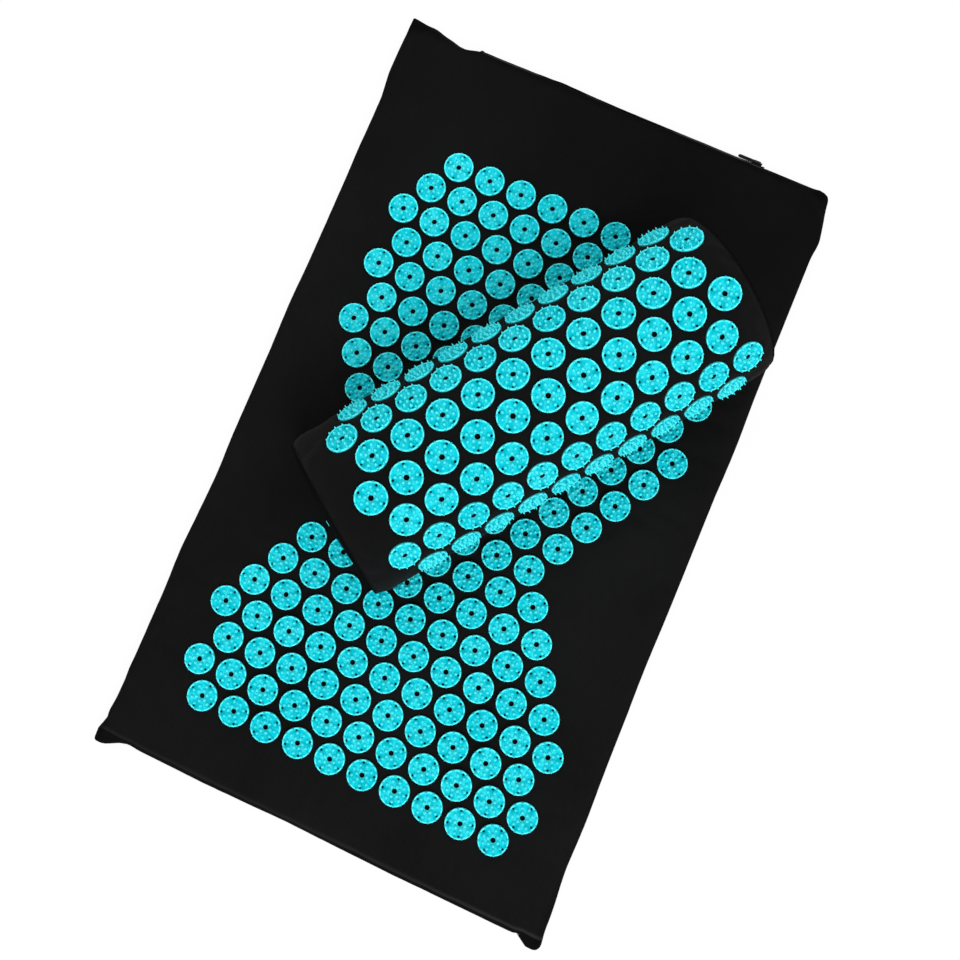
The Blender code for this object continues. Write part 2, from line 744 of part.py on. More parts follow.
def build_pillow():
    pillow = frame("pillow_frame", (PILLOW_ACROSS, PILLOW_ALONG, PILLOW_BASE), PILLOW_TURN)
    floor = COVER_WALL + FIT_GAP
    arch_half = PILLOW_LENGTH / 2 - floor
    arch = pillow_skin("pillow_cover_top", pillow_profile(0, floor), arch_half, floor, closed=False)
    cover = place("pillow_cover_top", arch, BLACK_COTTON, pillow)
    add_wall(cover)
    for name, sign in (("pillow_end_left", -1), ("pillow_end_right", 1)):
        end_panel(name, sign, pillow)
    base_panel(pillow)
    core_half = arch_half - floor
    inside = pillow_profile(PILLOW_CORE_ROOM, floor)
    core = pillow_skin("pillow_foam_core", inside, core_half, floor, closed=True)
    place("pillow_foam_core", core, PALE_FOAM, pillow)

    places = pillow_disc_places()
    plain = disc_field("pillow_plain_discs", [matrix for row, matrix in places if row], pillow)
    combine(cover, plain, "UNION")
    place_spiked_discs("pillow_spike_disc", [matrix for row, matrix in places if row == 0], pillow)
    line = frame("pillow_zip_line", (0, PILLOW_WIDTH / 2, PILLOW_ZIP_HEIGHT), parent=pillow)
    combine(cover, zip_window("pillow_zip_window", PILLOW_ZIP_LENGTH, line), "DIFFERENCE")
    zip_set("pillow_zip", PILLOW_ZIP_LENGTH, line)


build_mat()
build_pillow()
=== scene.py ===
"""Acupressure mat with its neck pillow: fabric, discs, zips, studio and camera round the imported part.

Lengths are metres in the part's own frame: X across the mat, Y along it, Z up from its underside.
"""

import math

import bmesh
import bpy
import numpy as np
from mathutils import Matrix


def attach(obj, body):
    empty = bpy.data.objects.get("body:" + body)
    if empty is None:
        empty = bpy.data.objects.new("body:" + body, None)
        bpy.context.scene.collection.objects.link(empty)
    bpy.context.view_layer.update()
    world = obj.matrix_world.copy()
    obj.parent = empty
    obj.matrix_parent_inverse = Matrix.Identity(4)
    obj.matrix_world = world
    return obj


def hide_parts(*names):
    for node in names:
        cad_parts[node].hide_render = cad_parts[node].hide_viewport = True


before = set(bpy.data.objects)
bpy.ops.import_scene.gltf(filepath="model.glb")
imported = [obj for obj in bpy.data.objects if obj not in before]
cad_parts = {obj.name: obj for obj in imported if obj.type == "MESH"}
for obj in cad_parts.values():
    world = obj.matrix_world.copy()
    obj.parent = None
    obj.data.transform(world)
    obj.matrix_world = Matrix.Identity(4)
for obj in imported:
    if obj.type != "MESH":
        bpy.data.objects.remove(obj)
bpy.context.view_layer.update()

MM = 0.001

# The mat, as the part's source has it
MAT_WIDTH = 445 * MM
MAT_LENGTH = 750 * MM
MAT_THICKNESS = 20 * MM
MAT_MIDDLE = MAT_THICKNESS / 2
MAT_SLANT = math.tan(math.radians(-1.67))
COTTON_WALL = 1.0 * MM
MAT_ZIP_LENGTH = 300 * MM
ZIP_WINDOW_REACH = 4.75 * MM
FAR_LEAN, NEAR_LEAN = 2.7 * MM, 0.6 * MM

# How the mat's cloth rolls over its sides, gathers at the seam and folds at its ears, and its foam
ROLL_POWER = 2.3
ROLL_RADIUS, CORNER_ROLL_RADIUS, CORNER_ROLL_WIDTH = 11 * MM, 15 * MM, 26 * MM
SEAM_HALF_GAP = 0.1 * MM
WANDER_DEPTH = 60 * MM
PUCKER_REACH = 11 * MM
GATHER_SIZE = 0.28 * MM
SLACK_SIZE, SLACK_ACROSS, SLACK_ALONG = 0.5 * MM, 31 * MM, 47 * MM
ZIP_END_EASE, SEAM_ROW = 0.8 * MM, 0.2 * MM
EAR_FOLD_DEPTH, EAR_FOLD_PLACE, EAR_FOLD_WIDTH = 2.4 * MM, 17 * MM, 5 * MM
MAT_FOAM_INSET = 3.4 * MM
MAT_FOAM_LOW, MAT_FOAM_HIGH = -8.4 * MM, 6.6 * MM

# The disc and its places
DISC_RADIUS = 14.15 * MM
PLATE_THICKNESS = 2.0 * MM
SPIKE_HEIGHT = 3.0 * MM
SPIKE_FOOT_RADIUS = 2.35 * MM
SPIKE_RINGS = ((6, 0.345, 15.3, 1.0), (9, 0.65, -4.8, 0.92), (12, 0.93, 15.0, 0.64))
CENTRE_HOLE_RADIUS = 2.5 * MM
RIM_HOLE_RADIUS = 1.25 * MM
RIM_HOLE_PLACE = 0.81 * DISC_RADIUS
DISC_SEAT = 0.3 * MM
SEAT_SINK = 0.1 * MM
PLATE_SIDES, SPIKE_SIDES = 24, 6
RIM_HOLE_CELL = 1.4 * MM
RIM_BREADTH = 1.2 * MM
SHADE_SPREAD = 0.03
MAT_DISC_PITCH = 33.0 * MM
MAT_ROW_PITCH = 29.2 * MM
MAT_ROWS = 20
PATTERN_ACROSS, PATTERN_ALONG = 6.5 * MM, -25.6 * MM
PATTERN_TURN = math.radians(-0.81)

# The pillow
PILLOW_LENGTH = 410 * MM
PILLOW_HALF_WIDTH = 79.5 * MM
PILLOW_WIDEST = 29 * MM
PILLOW_CREST_RISE = 72 * MM
PILLOW_HEIGHT = PILLOW_WIDEST + PILLOW_CREST_RISE
PILLOW_FOOT_DRAW = 3 * MM
PILLOW_FOOT_HEIGHT = 10 * MM
LEFT_END_LEAN, RIGHT_END_LEAN = 11.5 * MM, 3 * MM
END_ROUND = 14 * MM
PILLOW_PLACE = np.array((31.2 * MM, 62.9 * MM, 25.3 * MM))
PILLOW_TURN = math.radians(52.75)
PILLOW_DISC_PITCH = 33.5 * MM
PILLOW_ROW_PITCH = 30.4 * MM
PILLOW_PATTERN_DROP = -10.0 * MM
PILLOW_PATTERN_SHIFT = 11.3 * MM
PILLOW_ROW_SLIP = 0.036
PILLOW_ZIP_LENGTH = 300 * MM
PILLOW_ZIP_HEIGHT = 16 * MM
BASE_SHELL = 1.3 * MM
BASE_CLOTH = 1.1 * MM
BASE_CORNER = 6 * MM
END_BULGE = 4.2 * MM
END_MIDDLE_HEIGHT, END_MIDDLE_INSET = 44 * MM, 4 * MM
END_PUCKER, END_PUCKERS_A_RADIAN, END_PUCKER_FLOOR = 0.35 * MM, 46, 12 * MM
END_PUCKER_PLACE, END_PUCKER_WIDTH = 0.93, 0.07
END_DRAW = 0.04
WELT_RADIUS, WELT_WAVE, WELT_TWIST = 0.55 * MM, 0.06 * MM, 1.1 * MM
WELT_SIDES, WELT_STEPS, WELT_SIDE_CLOTH = 8, 260, 0.6 * MM
WELT_END_INSET, WELT_SKIN_INSET, WELT_FOOT_GAP = 0.6 * MM, 0.2 * MM, 3 * MM
PILLOW_FOAM_INSET, FOAM_GAP = 3.2 * MM, 0.2 * MM
TOP_GATHER, TOP_GATHER_START = 0.35 * MM, 1.5 * MM
TOP_SLACK, TOP_SLACK_WAVE, TOP_SLACK_PLACE, TOP_SLACK_WIDTH = 0.5 * MM, 15 * MM, 14 * MM, 12 * MM
FOOT_CALM, FOOT_CALM_RUN = 26 * MM, 10 * MM

THREAD_PITCH = 0.5 * MM
# How far the black painted shade on the foam reaches round each zip
ZIP_SHADE_REACH = 16 * MM
MERGE_REACH, CAD_MERGE_REACH = 0.02 * MM, 0.002 * MM

# The simulation that eases a panel
SIM_FRAMES = 20
SIM_STIFFNESS = 12.0
MAT_PRESSURE, MAT_GIVE = 3.0, 2.2 * MM
PILLOW_PRESSURE, PILLOW_GIVE = 4.0, 1.8 * MM
MAT_SEAM_HELD, PILLOW_SEAM_HELD, PILLOW_FOOT_HELD = 2 * MM, 1 * MM, 32 * MM
HELD_UNDER_DISC = 6 * MM

whims = np.random.default_rng(27)


# Arrays and meshes


def smooth_step(t):
    """0 up to t = 0 and 1 from t = 1, by t squared times (3 - 2t) between."""
    t = np.clip(t, 0, 1)
    return t * t * (3 - 2 * t)


def bump(distance, width):
    """A soft hump, exp(-(distance / width) squared)."""
    return np.exp(-((distance / width) ** 2))


def turned_about_z(points, turn):
    """Points turned about Z: x cos - y sin, x sin + y cos, z."""
    x, y, z = np.moveaxis(points, -1, 0)
    c, s = math.cos(turn), math.sin(turn)
    return np.stack((x * c - y * s, x * s + y * c, z), -1)


def ruler(length, edge_steps, spacing):
    """Places along a length centred on zero: fine steps in from both ends, and an even spacing between."""
    edge = np.array(edge_steps)
    inner = length / 2 - edge[-1]
    middle = np.linspace(-inner, inner, max(int(round(2 * inner / spacing)), 2) + 1)
    return np.concatenate((edge - length / 2, middle[1:-1], length / 2 - edge[::-1]))


def grid_faces(rows, columns, around=False):
    """Quads between neighbouring rows of a grid of points, joined round where its rows are closed."""
    i = np.arange(rows - 1)[:, None] * columns
    j = np.arange(columns if around else columns - 1)[None, :]
    k = (j + 1) % columns
    return np.stack((i + j, i + k, i + columns + k, i + columns + j), -1).reshape(-1, 4)


def fan(hub, start, count):
    """Triangles between a closed ring of points and a hub point."""
    i = np.arange(count)
    return np.stack((start + i, start + (i + 1) % count, np.full(count, hub)), -1)


def arc_lengths(u, z):
    """Lengths along a line of points from its first, the running sum of their distances."""
    return np.concatenate(([0], np.cumsum(np.hypot(np.diff(u), np.diff(z)))))


def piece(name, points, faces, material, body=None, uv=None, marks=None, smooth=True):
    """A mesh object from a points array and arrays of faces, riding on a body."""
    mesh = bpy.data.meshes.new(name)
    groups = [faces] if isinstance(faces, np.ndarray) else list(faces)
    loops = np.concatenate([group.ravel() for group in groups]).astype(np.int32)
    sizes = np.concatenate([np.full(len(group), group.shape[1]) for group in groups])
    mesh.vertices.add(len(points))
    mesh.vertices.foreach_set("co", np.asarray(points, np.float32).ravel())
    mesh.loops.add(len(loops))
    mesh.loops.foreach_set("vertex_index", loops)
    mesh.polygons.add(len(sizes))
    mesh.polygons.foreach_set("loop_start", (np.cumsum(sizes) - sizes).astype(np.int32))
    mesh.update(calc_edges=True)
    mesh.validate()
    mesh.polygons.foreach_set("use_smooth", np.full(len(mesh.polygons), smooth))
    if uv is not None:
        layer = mesh.uv_layers.new(name="cloth")
        layer.data.foreach_set("uv", np.asarray(uv, np.float32)[loops].ravel())
    for mark, values in (marks or {}).items():
        made = mesh.attributes.new(mark, "FLOAT", "POINT")
        made.data.foreach_set("value", np.asarray(values, np.float32))
    mesh.materials.append(material)
    obj = bpy.data.objects.new(name, mesh)
    bpy.context.scene.collection.objects.link(obj)
    if body:
        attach(obj, body)
    return obj


def points_of(mesh):
    """The mesh's vertices as an array."""
    flat = np.empty(len(mesh.vertices) * 3, np.float32)
    mesh.vertices.foreach_get("co", flat)
    return flat.reshape(-1, 3).astype(float)


def cloth_wall(obj):
    """The fabric's thickness, inwards from its outer face."""
    wall = obj.modifiers.new("cotton", "SOLIDIFY")
    wall.thickness = COTTON_WALL
    wall.offset = -1
    return obj


# Finishes

NOISE_ROUGHNESS = 0.55


def node_group(name, inputs, outputs):
    """An empty shader node group with named sockets, and its input and output nodes."""
    group = bpy.data.node_groups.new(name, "ShaderNodeTree")
    for label, kind, value in inputs:
        socket = group.interface.new_socket(label, in_out="INPUT", socket_type=kind)
        if value is not None:
            socket.default_value = value
    for label, kind in outputs:
        group.interface.new_socket(label, in_out="OUTPUT", socket_type=kind)
    return group, group.nodes.new("NodeGroupInput"), group.nodes.new("NodeGroupOutput")


def maths(tree, operation, first, second=None, third=None):
    """A Math node with sockets or numbers plugged in, and its output."""
    node = tree.nodes.new("ShaderNodeMath")
    node.operation = operation
    for index, value in enumerate((first, second, third)):
        if isinstance(value, bpy.types.NodeSocket):
            tree.links.new(value, node.inputs[index])
        elif value is not None:
            node.inputs[index].default_value = value
    return node.outputs[0]


def mixed_colour(tree, share, first, second):
    """A colour between two, by a share socket."""
    node = tree.nodes.new("ShaderNodeMix")
    node.data_type = "RGBA"
    tree.links.new(share, node.inputs[0])
    for index, value in ((6, first), (7, second)):
        if isinstance(value, bpy.types.NodeSocket):
            tree.links.new(value, node.inputs[index])
        else:
            node.inputs[index].default_value = (*value, 1)
    return node.outputs[2]


def noise(tree, vector, scale, detail):
    """Noise from a vector at a scale in cycles a metre, with detail octaves over it."""
    node = tree.nodes.new("ShaderNodeTexNoise")
    tree.links.new(vector, node.inputs["Vector"])
    node.inputs["Scale"].default_value = scale
    node.inputs["Detail"].default_value = detail
    node.inputs["Roughness"].default_value = NOISE_ROUGHNESS
    return node.outputs[0]


def plain_weave_group():
    """Height of a plain weave: |sin| of one thread direction or the other, by turns like a chessboard."""
    group, given, result = node_group(
        "plain_weave",
        [("Cloth", "NodeSocketVector", None), ("Threads", "NodeSocketFloat", 2000.0)],
        [("Height", "NodeSocketFloat"), ("Slub", "NodeSocketFloat")],
    )
    split = group.nodes.new("ShaderNodeSeparateXYZ")
    group.links.new(given.outputs["Cloth"], split.inputs[0])
    turns = maths(group, "MULTIPLY", given.outputs["Threads"], math.pi)
    warp = maths(group, "SINE", maths(group, "MULTIPLY", split.outputs[0], turns))
    weft = maths(group, "SINE", maths(group, "MULTIPLY", split.outputs[1], turns))
    over = maths(group, "GREATER_THAN", maths(group, "MULTIPLY", warp, weft), 0.0)
    under = maths(group, "SUBTRACT", 1.0, over)
    high = maths(group, "MULTIPLY", maths(group, "ABSOLUTE", warp), over)
    low = maths(group, "MULTIPLY", maths(group, "ABSOLUTE", weft), under)
    group.links.new(maths(group, "ADD", high, low), result.inputs["Height"])
    stretch = group.nodes.new("ShaderNodeMapping")
    stretch.inputs["Scale"].default_value = (1.0, 0.06, 1.0)
    group.links.new(given.outputs["Cloth"], stretch.inputs["Vector"])
    group.links.new(noise(group, stretch.outputs[0], 900.0, 2.0), result.inputs["Slub"])
    return group


def mottle_group():
    """Two sizes of soft cloud for dye, dust and handling, each from 0 to 1."""
    group, given, result = node_group(
        "mottle",
        [("Place", "NodeSocketVector", None)],
        [("Broad", "NodeSocketFloat"), ("Fine", "NodeSocketFloat")],
    )
    group.links.new(noise(group, given.outputs[0], 9.0, 2.0), result.inputs["Broad"])
    group.links.new(noise(group, given.outputs[0], 160.0, 4.0), result.inputs["Fine"])
    return group


WEAVE = plain_weave_group()
MOTTLE = mottle_group()


def new_finish(name, roughness, specular, sheen=0.0):
    """A node material with its Principled shader and Texture Coordinate node."""
    made = bpy.data.materials.new(name)
    made.use_nodes = True
    tree = made.node_tree
    shader = tree.nodes["Principled BSDF"]
    shader.inputs["Roughness"].default_value = roughness
    shader.inputs["Specular IOR Level"].default_value = specular
    shader.inputs["Sheen Weight"].default_value = sheen
    return made, tree, shader, tree.nodes.new("ShaderNodeTexCoord")


def placed_group(tree, group, **plugs):
    """A node group in a material, with its inputs linked or set by name."""
    node = tree.nodes.new("ShaderNodeGroup")
    node.node_tree = group
    for label, value in plugs.items():
        if isinstance(value, bpy.types.NodeSocket):
            tree.links.new(value, node.inputs[label])
        else:
            node.inputs[label].default_value = value
    return node


def bumped(tree, height, shader, distance, strength=1.0):
    """Height into a Bump node on the shader's Normal."""
    node = tree.nodes.new("ShaderNodeBump")
    node.inputs["Strength"].default_value = strength
    node.inputs["Distance"].default_value = distance
    tree.links.new(height, node.inputs["Height"])
    tree.links.new(node.outputs[0], shader.inputs["Normal"])


def marked(tree, name):
    """A value that the mesh carries at its points."""
    node = tree.nodes.new("ShaderNodeAttribute")
    node.attribute_name = name
    return node.outputs["Fac"]


def ramp(tree, value, start, end):
    """A smooth step of a socket: 0 at the start, 1 at the end, whichever is higher."""
    node = tree.nodes.new("ShaderNodeMapRange")
    node.interpolation_type = "SMOOTHSTEP"
    tree.links.new(value, node.inputs["Value"])
    node.inputs["From Min"].default_value = start
    node.inputs["From Max"].default_value = end
    return node.outputs[0]


def painted_light_on_mat(tree, place):
    """How light the mat's cloth is painted: a painted highlight in a band where the near end rolls over,
    painted shade below it, along the other sides, and towards the far end where the light falls off, by (1 -
    far) (1 + band) (1 - wall) (1 - side) (1 - end)."""
    split = tree.nodes.new("ShaderNodeSeparateXYZ")
    tree.links.new(place, split.inputs[0])
    x = split.outputs[0]
    y = maths(tree, "MULTIPLY_ADD", x, -MAT_SLANT, split.outputs[1])
    near = maths(tree, "ADD", y, MAT_LENGTH / 2)
    side = maths(tree, "SUBTRACT", MAT_WIDTH / 2, maths(tree, "ABSOLUTE", x))
    far = maths(tree, "MULTIPLY_ADD", x, *FAR_SHADE)
    far = maths(tree, "MULTIPLY", ramp(tree, y, *FAR_SHADE_RUN), far)
    band = maths(tree, "MAXIMUM", maths(tree, "MULTIPLY_ADD", x, *ROLL_HIGHLIGHT), ROLL_HIGHLIGHT[1])
    for run in (ROLL_OUTER_RUN, ROLL_INNER_RUN):
        band = maths(tree, "MULTIPLY", band, ramp(tree, near, *run))
    painted_light = maths(tree, "MULTIPLY", maths(tree, "SUBTRACT", 1.0, far), maths(tree, "ADD", 1.0, band))
    sides = (near, WALL_RUN, WALL_SHADE), (side, SIDE_RUN, SIDE_SHADE), (y, END_RUN, END_SHADE)
    for distance, run, depth in sides:
        shade = maths(tree, "MULTIPLY_ADD", ramp(tree, distance, *run), -depth, 1.0)
        painted_light = maths(tree, "MULTIPLY", painted_light, shade)
    return painted_light


def woven_finish(name, dark, light, specular, sheen=0.0, painted_light=None):
    """Woven cloth: a plain weave in the bump, uneven dye and slubs in the colour, darker where the weave is
    low, which is painted shade between the threads, and painted light and shade that a function of the place
    may add."""
    made, tree, shader, coords = new_finish(name, CLOTH_ROUGHNESS, specular, sheen)
    cloth = placed_group(tree, WEAVE, Cloth=coords.outputs["UV"], Threads=1 / THREAD_PITCH)
    clouds = placed_group(tree, MOTTLE, Place=coords.outputs["Object"])
    tone = maths(tree, "MULTIPLY_ADD", clouds.outputs["Broad"], 0.7, -0.1)
    tone = maths(tree, "MULTIPLY_ADD", cloth.outputs["Slub"], 0.35, tone)
    # Darker where the weave is low: painted shade between the threads
    tone = maths(tree, "MULTIPLY", tone, maths(tree, "MULTIPLY_ADD", cloth.outputs["Height"], 0.6, 0.5))
    colour = mixed_colour(tree, tone, dark, light)
    # Painted light and shade by place scale the colour
    if painted_light:
        lit = tree.nodes.new("ShaderNodeVectorMath")
        lit.operation = "SCALE"
        tree.links.new(colour, lit.inputs[0])
        tree.links.new(painted_light(tree, coords.outputs["Object"]), lit.inputs["Scale"])
        colour = lit.outputs[0]
    tree.links.new(colour, shader.inputs["Base Color"])
    rough = maths(tree, "MULTIPLY_ADD", clouds.outputs["Fine"], 0.16, CLOTH_ROUGHNESS - 0.08)
    tree.links.new(rough, shader.inputs["Roughness"])
    height = maths(tree, "MULTIPLY_ADD", clouds.outputs["Fine"], 0.5, cloth.outputs["Height"])
    bumped(tree, height, shader, 0.12 * MM, 0.6)
    return made


def disc_finish(name):
    """Moulded plastic with a soft gloss, carrying painted light from its mesh: painted highlights along the
    rim, round the centre hole and towards the spikes' tips, and painted shade, a dark teal, round the rim holes
    where the tone falls below zero.
    """
    made, tree, shader, coords = new_finish(name, 0.4, 0.03)
    clouds = placed_group(tree, MOTTLE, Place=coords.outputs["Object"])
    tone = maths(tree, "MULTIPLY_ADD", clouds.outputs["Broad"], 0.16, -0.08)
    streaks = noise(tree, coords.outputs["Object"], 330.0, 2.0)
    tone = maths(tree, "ADD", maths(tree, "MULTIPLY_ADD", streaks, 0.7, -0.35), tone)
    tone = maths(tree, "ADD", marked(tree, "pale"), tone)
    colour = mixed_colour(tree, tone, DISC_DEEP, DISC_PALE_HIGHLIGHT)
    # Below zero the tone goes towards a dark teal: painted shade round the rim holes, and random darker streaks
    colour = mixed_colour(tree, maths(tree, "MULTIPLY", tone, -0.6), colour, DISC_SHADE)
    tree.links.new(colour, shader.inputs["Base Color"])
    rough = maths(tree, "MULTIPLY_ADD", clouds.outputs["Fine"], 0.12, 0.32)
    tree.links.new(rough, shader.inputs["Roughness"])
    bumped(tree, clouds.outputs["Fine"], shader, 0.02 * MM, 0.3)
    return made


def foam_finish(name):
    """Open-cell foam: fine pores in colour and height, darker in their hollows, which is painted shade, and
    black painted shade where a zip lies over it.
    """
    made, tree, shader, coords = new_finish(name, 0.95, 0.15)
    cells = tree.nodes.new("ShaderNodeTexVoronoi")
    cells.inputs["Scale"].default_value = 900.0
    tree.links.new(coords.outputs["Object"], cells.inputs["Vector"])
    # Darker in the pores' hollows: painted shade
    colour = mixed_colour(tree, cells.outputs[0], *FOAM_TONES)
    # Black painted shade behind each zip
    colour = mixed_colour(tree, marked(tree, "zip_shade"), colour, ZIP_SHADE_BLACK)
    tree.links.new(colour, shader.inputs["Base Color"])
    bumped(tree, cells.outputs[0], shader, 0.4 * MM)
    return made


def metal_finish(name):
    """Black-lacquered metal with fine brushing under the lacquer and uneven gloss."""
    made, tree, shader, coords = new_finish(name, 0.34, 0.2)
    brushing = tree.nodes.new("ShaderNodeMapping")
    brushing.inputs["Scale"].default_value = (0.08, 1.0, 1.0)
    tree.links.new(coords.outputs["Object"], brushing.inputs["Vector"])
    grain = noise(tree, brushing.outputs[0], 5000.0, 2.0)
    clouds = placed_group(tree, MOTTLE, Place=coords.outputs["Object"])
    colour = mixed_colour(tree, clouds.outputs["Fine"], *LACQUER_TONES)
    tree.links.new(colour, shader.inputs["Base Color"])
    tree.links.new(maths(tree, "MULTIPLY_ADD", grain, 0.2, 0.25), shader.inputs["Roughness"])
    bumped(tree, grain, shader, 0.02 * MM, 0.5)
    return made


def nylon_finish(name):
    """Black nylon: ribbed tape and a slightly glossy coil, darker in colour in the ribs' grooves, which is
    painted shade.
    """
    made, tree, shader, coords = new_finish(name, 0.5, 0.35)
    ribs = tree.nodes.new("ShaderNodeTexWave")
    ribs.inputs["Scale"].default_value = 260.0
    ribs.inputs["Distortion"].default_value = 0.6
    ribs.bands_direction = "DIAGONAL"
    tree.links.new(coords.outputs["Object"], ribs.inputs["Vector"])
    colour = mixed_colour(tree, ribs.outputs[1], *NYLON_TONES)
    tree.links.new(colour, shader.inputs["Base Color"])
    bumped(tree, ribs.outputs[1], shader, 0.1 * MM, 0.6)
    return made


# The plastic's deep colour, the dark teal of its painted shade, and the pale colour that its painted highlights
# reach
DISC_DEEP = (0.000, 0.545, 0.635)
DISC_SHADE = (0.000, 0.10, 0.12)
DISC_PALE_HIGHLIGHT = (0.125, 0.97, 1.00)
# Painted light and shade on the mat's cloth: runs of distance and sizes of the change, for painted shade where
# the light falls off towards the far end, a painted highlight where the near end rolls over, and painted shade
# below it, along the sides and along the far end. The far shade and the roll's highlight are each a slope with
# X and the value at X = 0
FAR_SHADE_RUN, FAR_SHADE = (190 * MM, 340 * MM), (0.65, 0.27)
ROLL_OUTER_RUN, ROLL_INNER_RUN, ROLL_HIGHLIGHT = (5.9 * MM, 6.7 * MM), (10.8 * MM, 6.9 * MM), (7.0, 0.85)
WALL_RUN, WALL_SHADE = (6.2 * MM, 4.8 * MM), 0.42
SIDE_RUN, SIDE_SHADE = (6 * MM, 0 * MM), 0.22
END_RUN, END_SHADE = (MAT_LENGTH / 2 - 15 * MM, MAT_LENGTH / 2 - 4 * MM), 0.5
# The darkest and the lightest tone of each cloth, of the foam, the lacquer and the nylon
PILLOW_DYE = (0.0020, 0.0020, 0.0021), (0.0075, 0.0075, 0.0078)
MAT_DYE = (0.0030, 0.0030, 0.0031), (0.0114, 0.0114, 0.0117)
# The end panels' cotton: a darker copy, painted shade
END_SHADED_TONES = (0.0016, 0.0016, 0.0017), (0.0060, 0.0060, 0.0062)
FOAM_TONES = (0.58, 0.53, 0.38), (0.85, 0.80, 0.66)
LACQUER_TONES = (0.006, 0.006, 0.0065), (0.016, 0.016, 0.017)
NYLON_TONES = (0.008, 0.008, 0.009), (0.022, 0.022, 0.024)
# The black of the painted shade on the foam behind each zip
ZIP_SHADE_BLACK = (0.004, 0.004, 0.004)
CLOTH_ROUGHNESS = 0.9
black_cotton = woven_finish("black_cotton", *PILLOW_DYE, specular=0.05, sheen=0.02)
# The mat's top panel: the same cotton with painted light and shade by place
mat_cotton = woven_finish("black_cotton_mat", *MAT_DYE, specular=0.02, painted_light=painted_light_on_mat)
# A darker copy of the cotton, with less gloss, for the end panels: painted shade
shaded_end_cotton = woven_finish("black_cotton_ends", *END_SHADED_TONES, specular=0.01)
cyan_plastic = disc_finish("cyan_plastic")
pale_foam = foam_finish("pale_foam")
zip_metal = metal_finish("zip_metal")
zip_nylon = nylon_finish("zip_nylon")


# Where the discs sit


def row_reach(row):
    """Half pitches from a row's middle to its end: ten and eleven discs by turns, fewer at the waist."""
    widest = 10 - (row + 1) % 2 - (2 if row == MAT_ROWS - 1 else 0)
    return min(widest, 5 + abs(row - 8))


def out_of_square(points):
    """The mat as it lies: each point moves along the mat by the slant times its place across."""
    return points + points[..., :1] * (0, MAT_SLANT, 0)


def mat_row_places(row):
    """Disc frames of one row on the mat: an n by 4 by 3 array of origins with their X, Y and Z axes."""
    reach = row_reach(row)
    across = np.arange(-reach, reach + 1, 2) * MAT_DISC_PITCH / 2
    along = np.full(len(across), (row - (MAT_ROWS - 1) / 2) * MAT_ROW_PITCH)
    origin = turned_about_z(np.stack((across, along, 0 * across), -1), PATTERN_TURN)
    origin = out_of_square(origin + (PATTERN_ACROSS, PATTERN_ALONG, MAT_THICKNESS))
    axes = np.broadcast_to(np.eye(3), (len(across), 3, 3))
    return np.concatenate((origin[:, None], axes), 1)


crest_angles = np.linspace(0, math.pi / 2, 801)
crest_u = PILLOW_HALF_WIDTH * np.sin(crest_angles)
crest_z = PILLOW_CREST_RISE * np.cos(crest_angles)
crest_arcs = arc_lengths(crest_u, crest_z)


def crest_angle(arc):
    """The ellipse angle at a length of arc from the crest, negative on the near side."""
    return np.sign(arc) * np.interp(np.abs(arc), crest_arcs, crest_angles)


def section_point(arc):
    """(across, height) on the domed part of the pillow's section."""
    angle = crest_angle(arc)
    return PILLOW_HALF_WIDTH * np.sin(angle), PILLOW_WIDEST + PILLOW_CREST_RISE * np.cos(angle)


def pillow_row_places(row):
    """Disc frames of one row on the pillow, each flat on the chord of its row's stretch of the section."""
    middle = PILLOW_PATTERN_DROP + row * PILLOW_ROW_PITCH
    ends = np.array([section_point(middle + half * PILLOW_ROW_PITCH / 2) for half in (-1, 1)])
    across, height = ends.mean(0)
    lean = ends[1] - ends[0]
    lean = lean / np.hypot(*lean)
    count = 11 - abs(row) % 2
    slip = PILLOW_PATTERN_SHIFT + PILLOW_ROW_SLIP * across
    along = slip + (np.arange(count) - (count - 1) / 2) * PILLOW_DISC_PITCH
    origin = np.stack((along, np.full(count, across), np.full(count, height)), -1)
    axes = np.array(((1, 0, 0), (0, lean[0], lean[1]), (0, -lean[1], lean[0])))
    return np.concatenate((origin[:, None], np.broadcast_to(axes, (count, 3, 3))), 1)


MAT_ROWS_OF_DISCS = [mat_row_places(row) for row in range(MAT_ROWS)]
PILLOW_ROWS_OF_DISCS = [pillow_row_places(row) for row in range(-3, 4)]


def pressed_by_discs(points, places, reach):
    """Fabric pushed flat under each disc: a point within the disc's edge comes down to its seat, and the
    height above the seat comes back over a short run beyond the edge."""
    best = np.full(len(points), np.inf)
    shift = np.zeros_like(points)
    for origin, *axes in places:
        away = points - origin
        near = np.flatnonzero((away**2).sum(1) < (reach * 1.6) ** 2)
        local = away[near] @ np.array(axes).T
        r = np.hypot(local[:, 0], local[:, 1])
        hold = 1 - smooth_step((r - DISC_RADIUS * 0.98) / (reach - DISC_RADIUS))
        drop = np.maximum(local[:, 2] + SEAT_SINK, 0) * hold
        closer = r < best[near]
        best[near[closer]] = r[closer]
        shift[near[closer]] = -drop[closer, None] * np.array(axes[2])
    return points + shift


# The disc


def polar_ring(radius, height, sides, turn=0.0):
    """Points of a level circle, radius (cos, sin) at even angles."""
    angles = turn + np.arange(sides) * math.tau / sides
    return np.stack((radius * np.cos(angles), radius * np.sin(angles), np.full(sides, height)), -1)


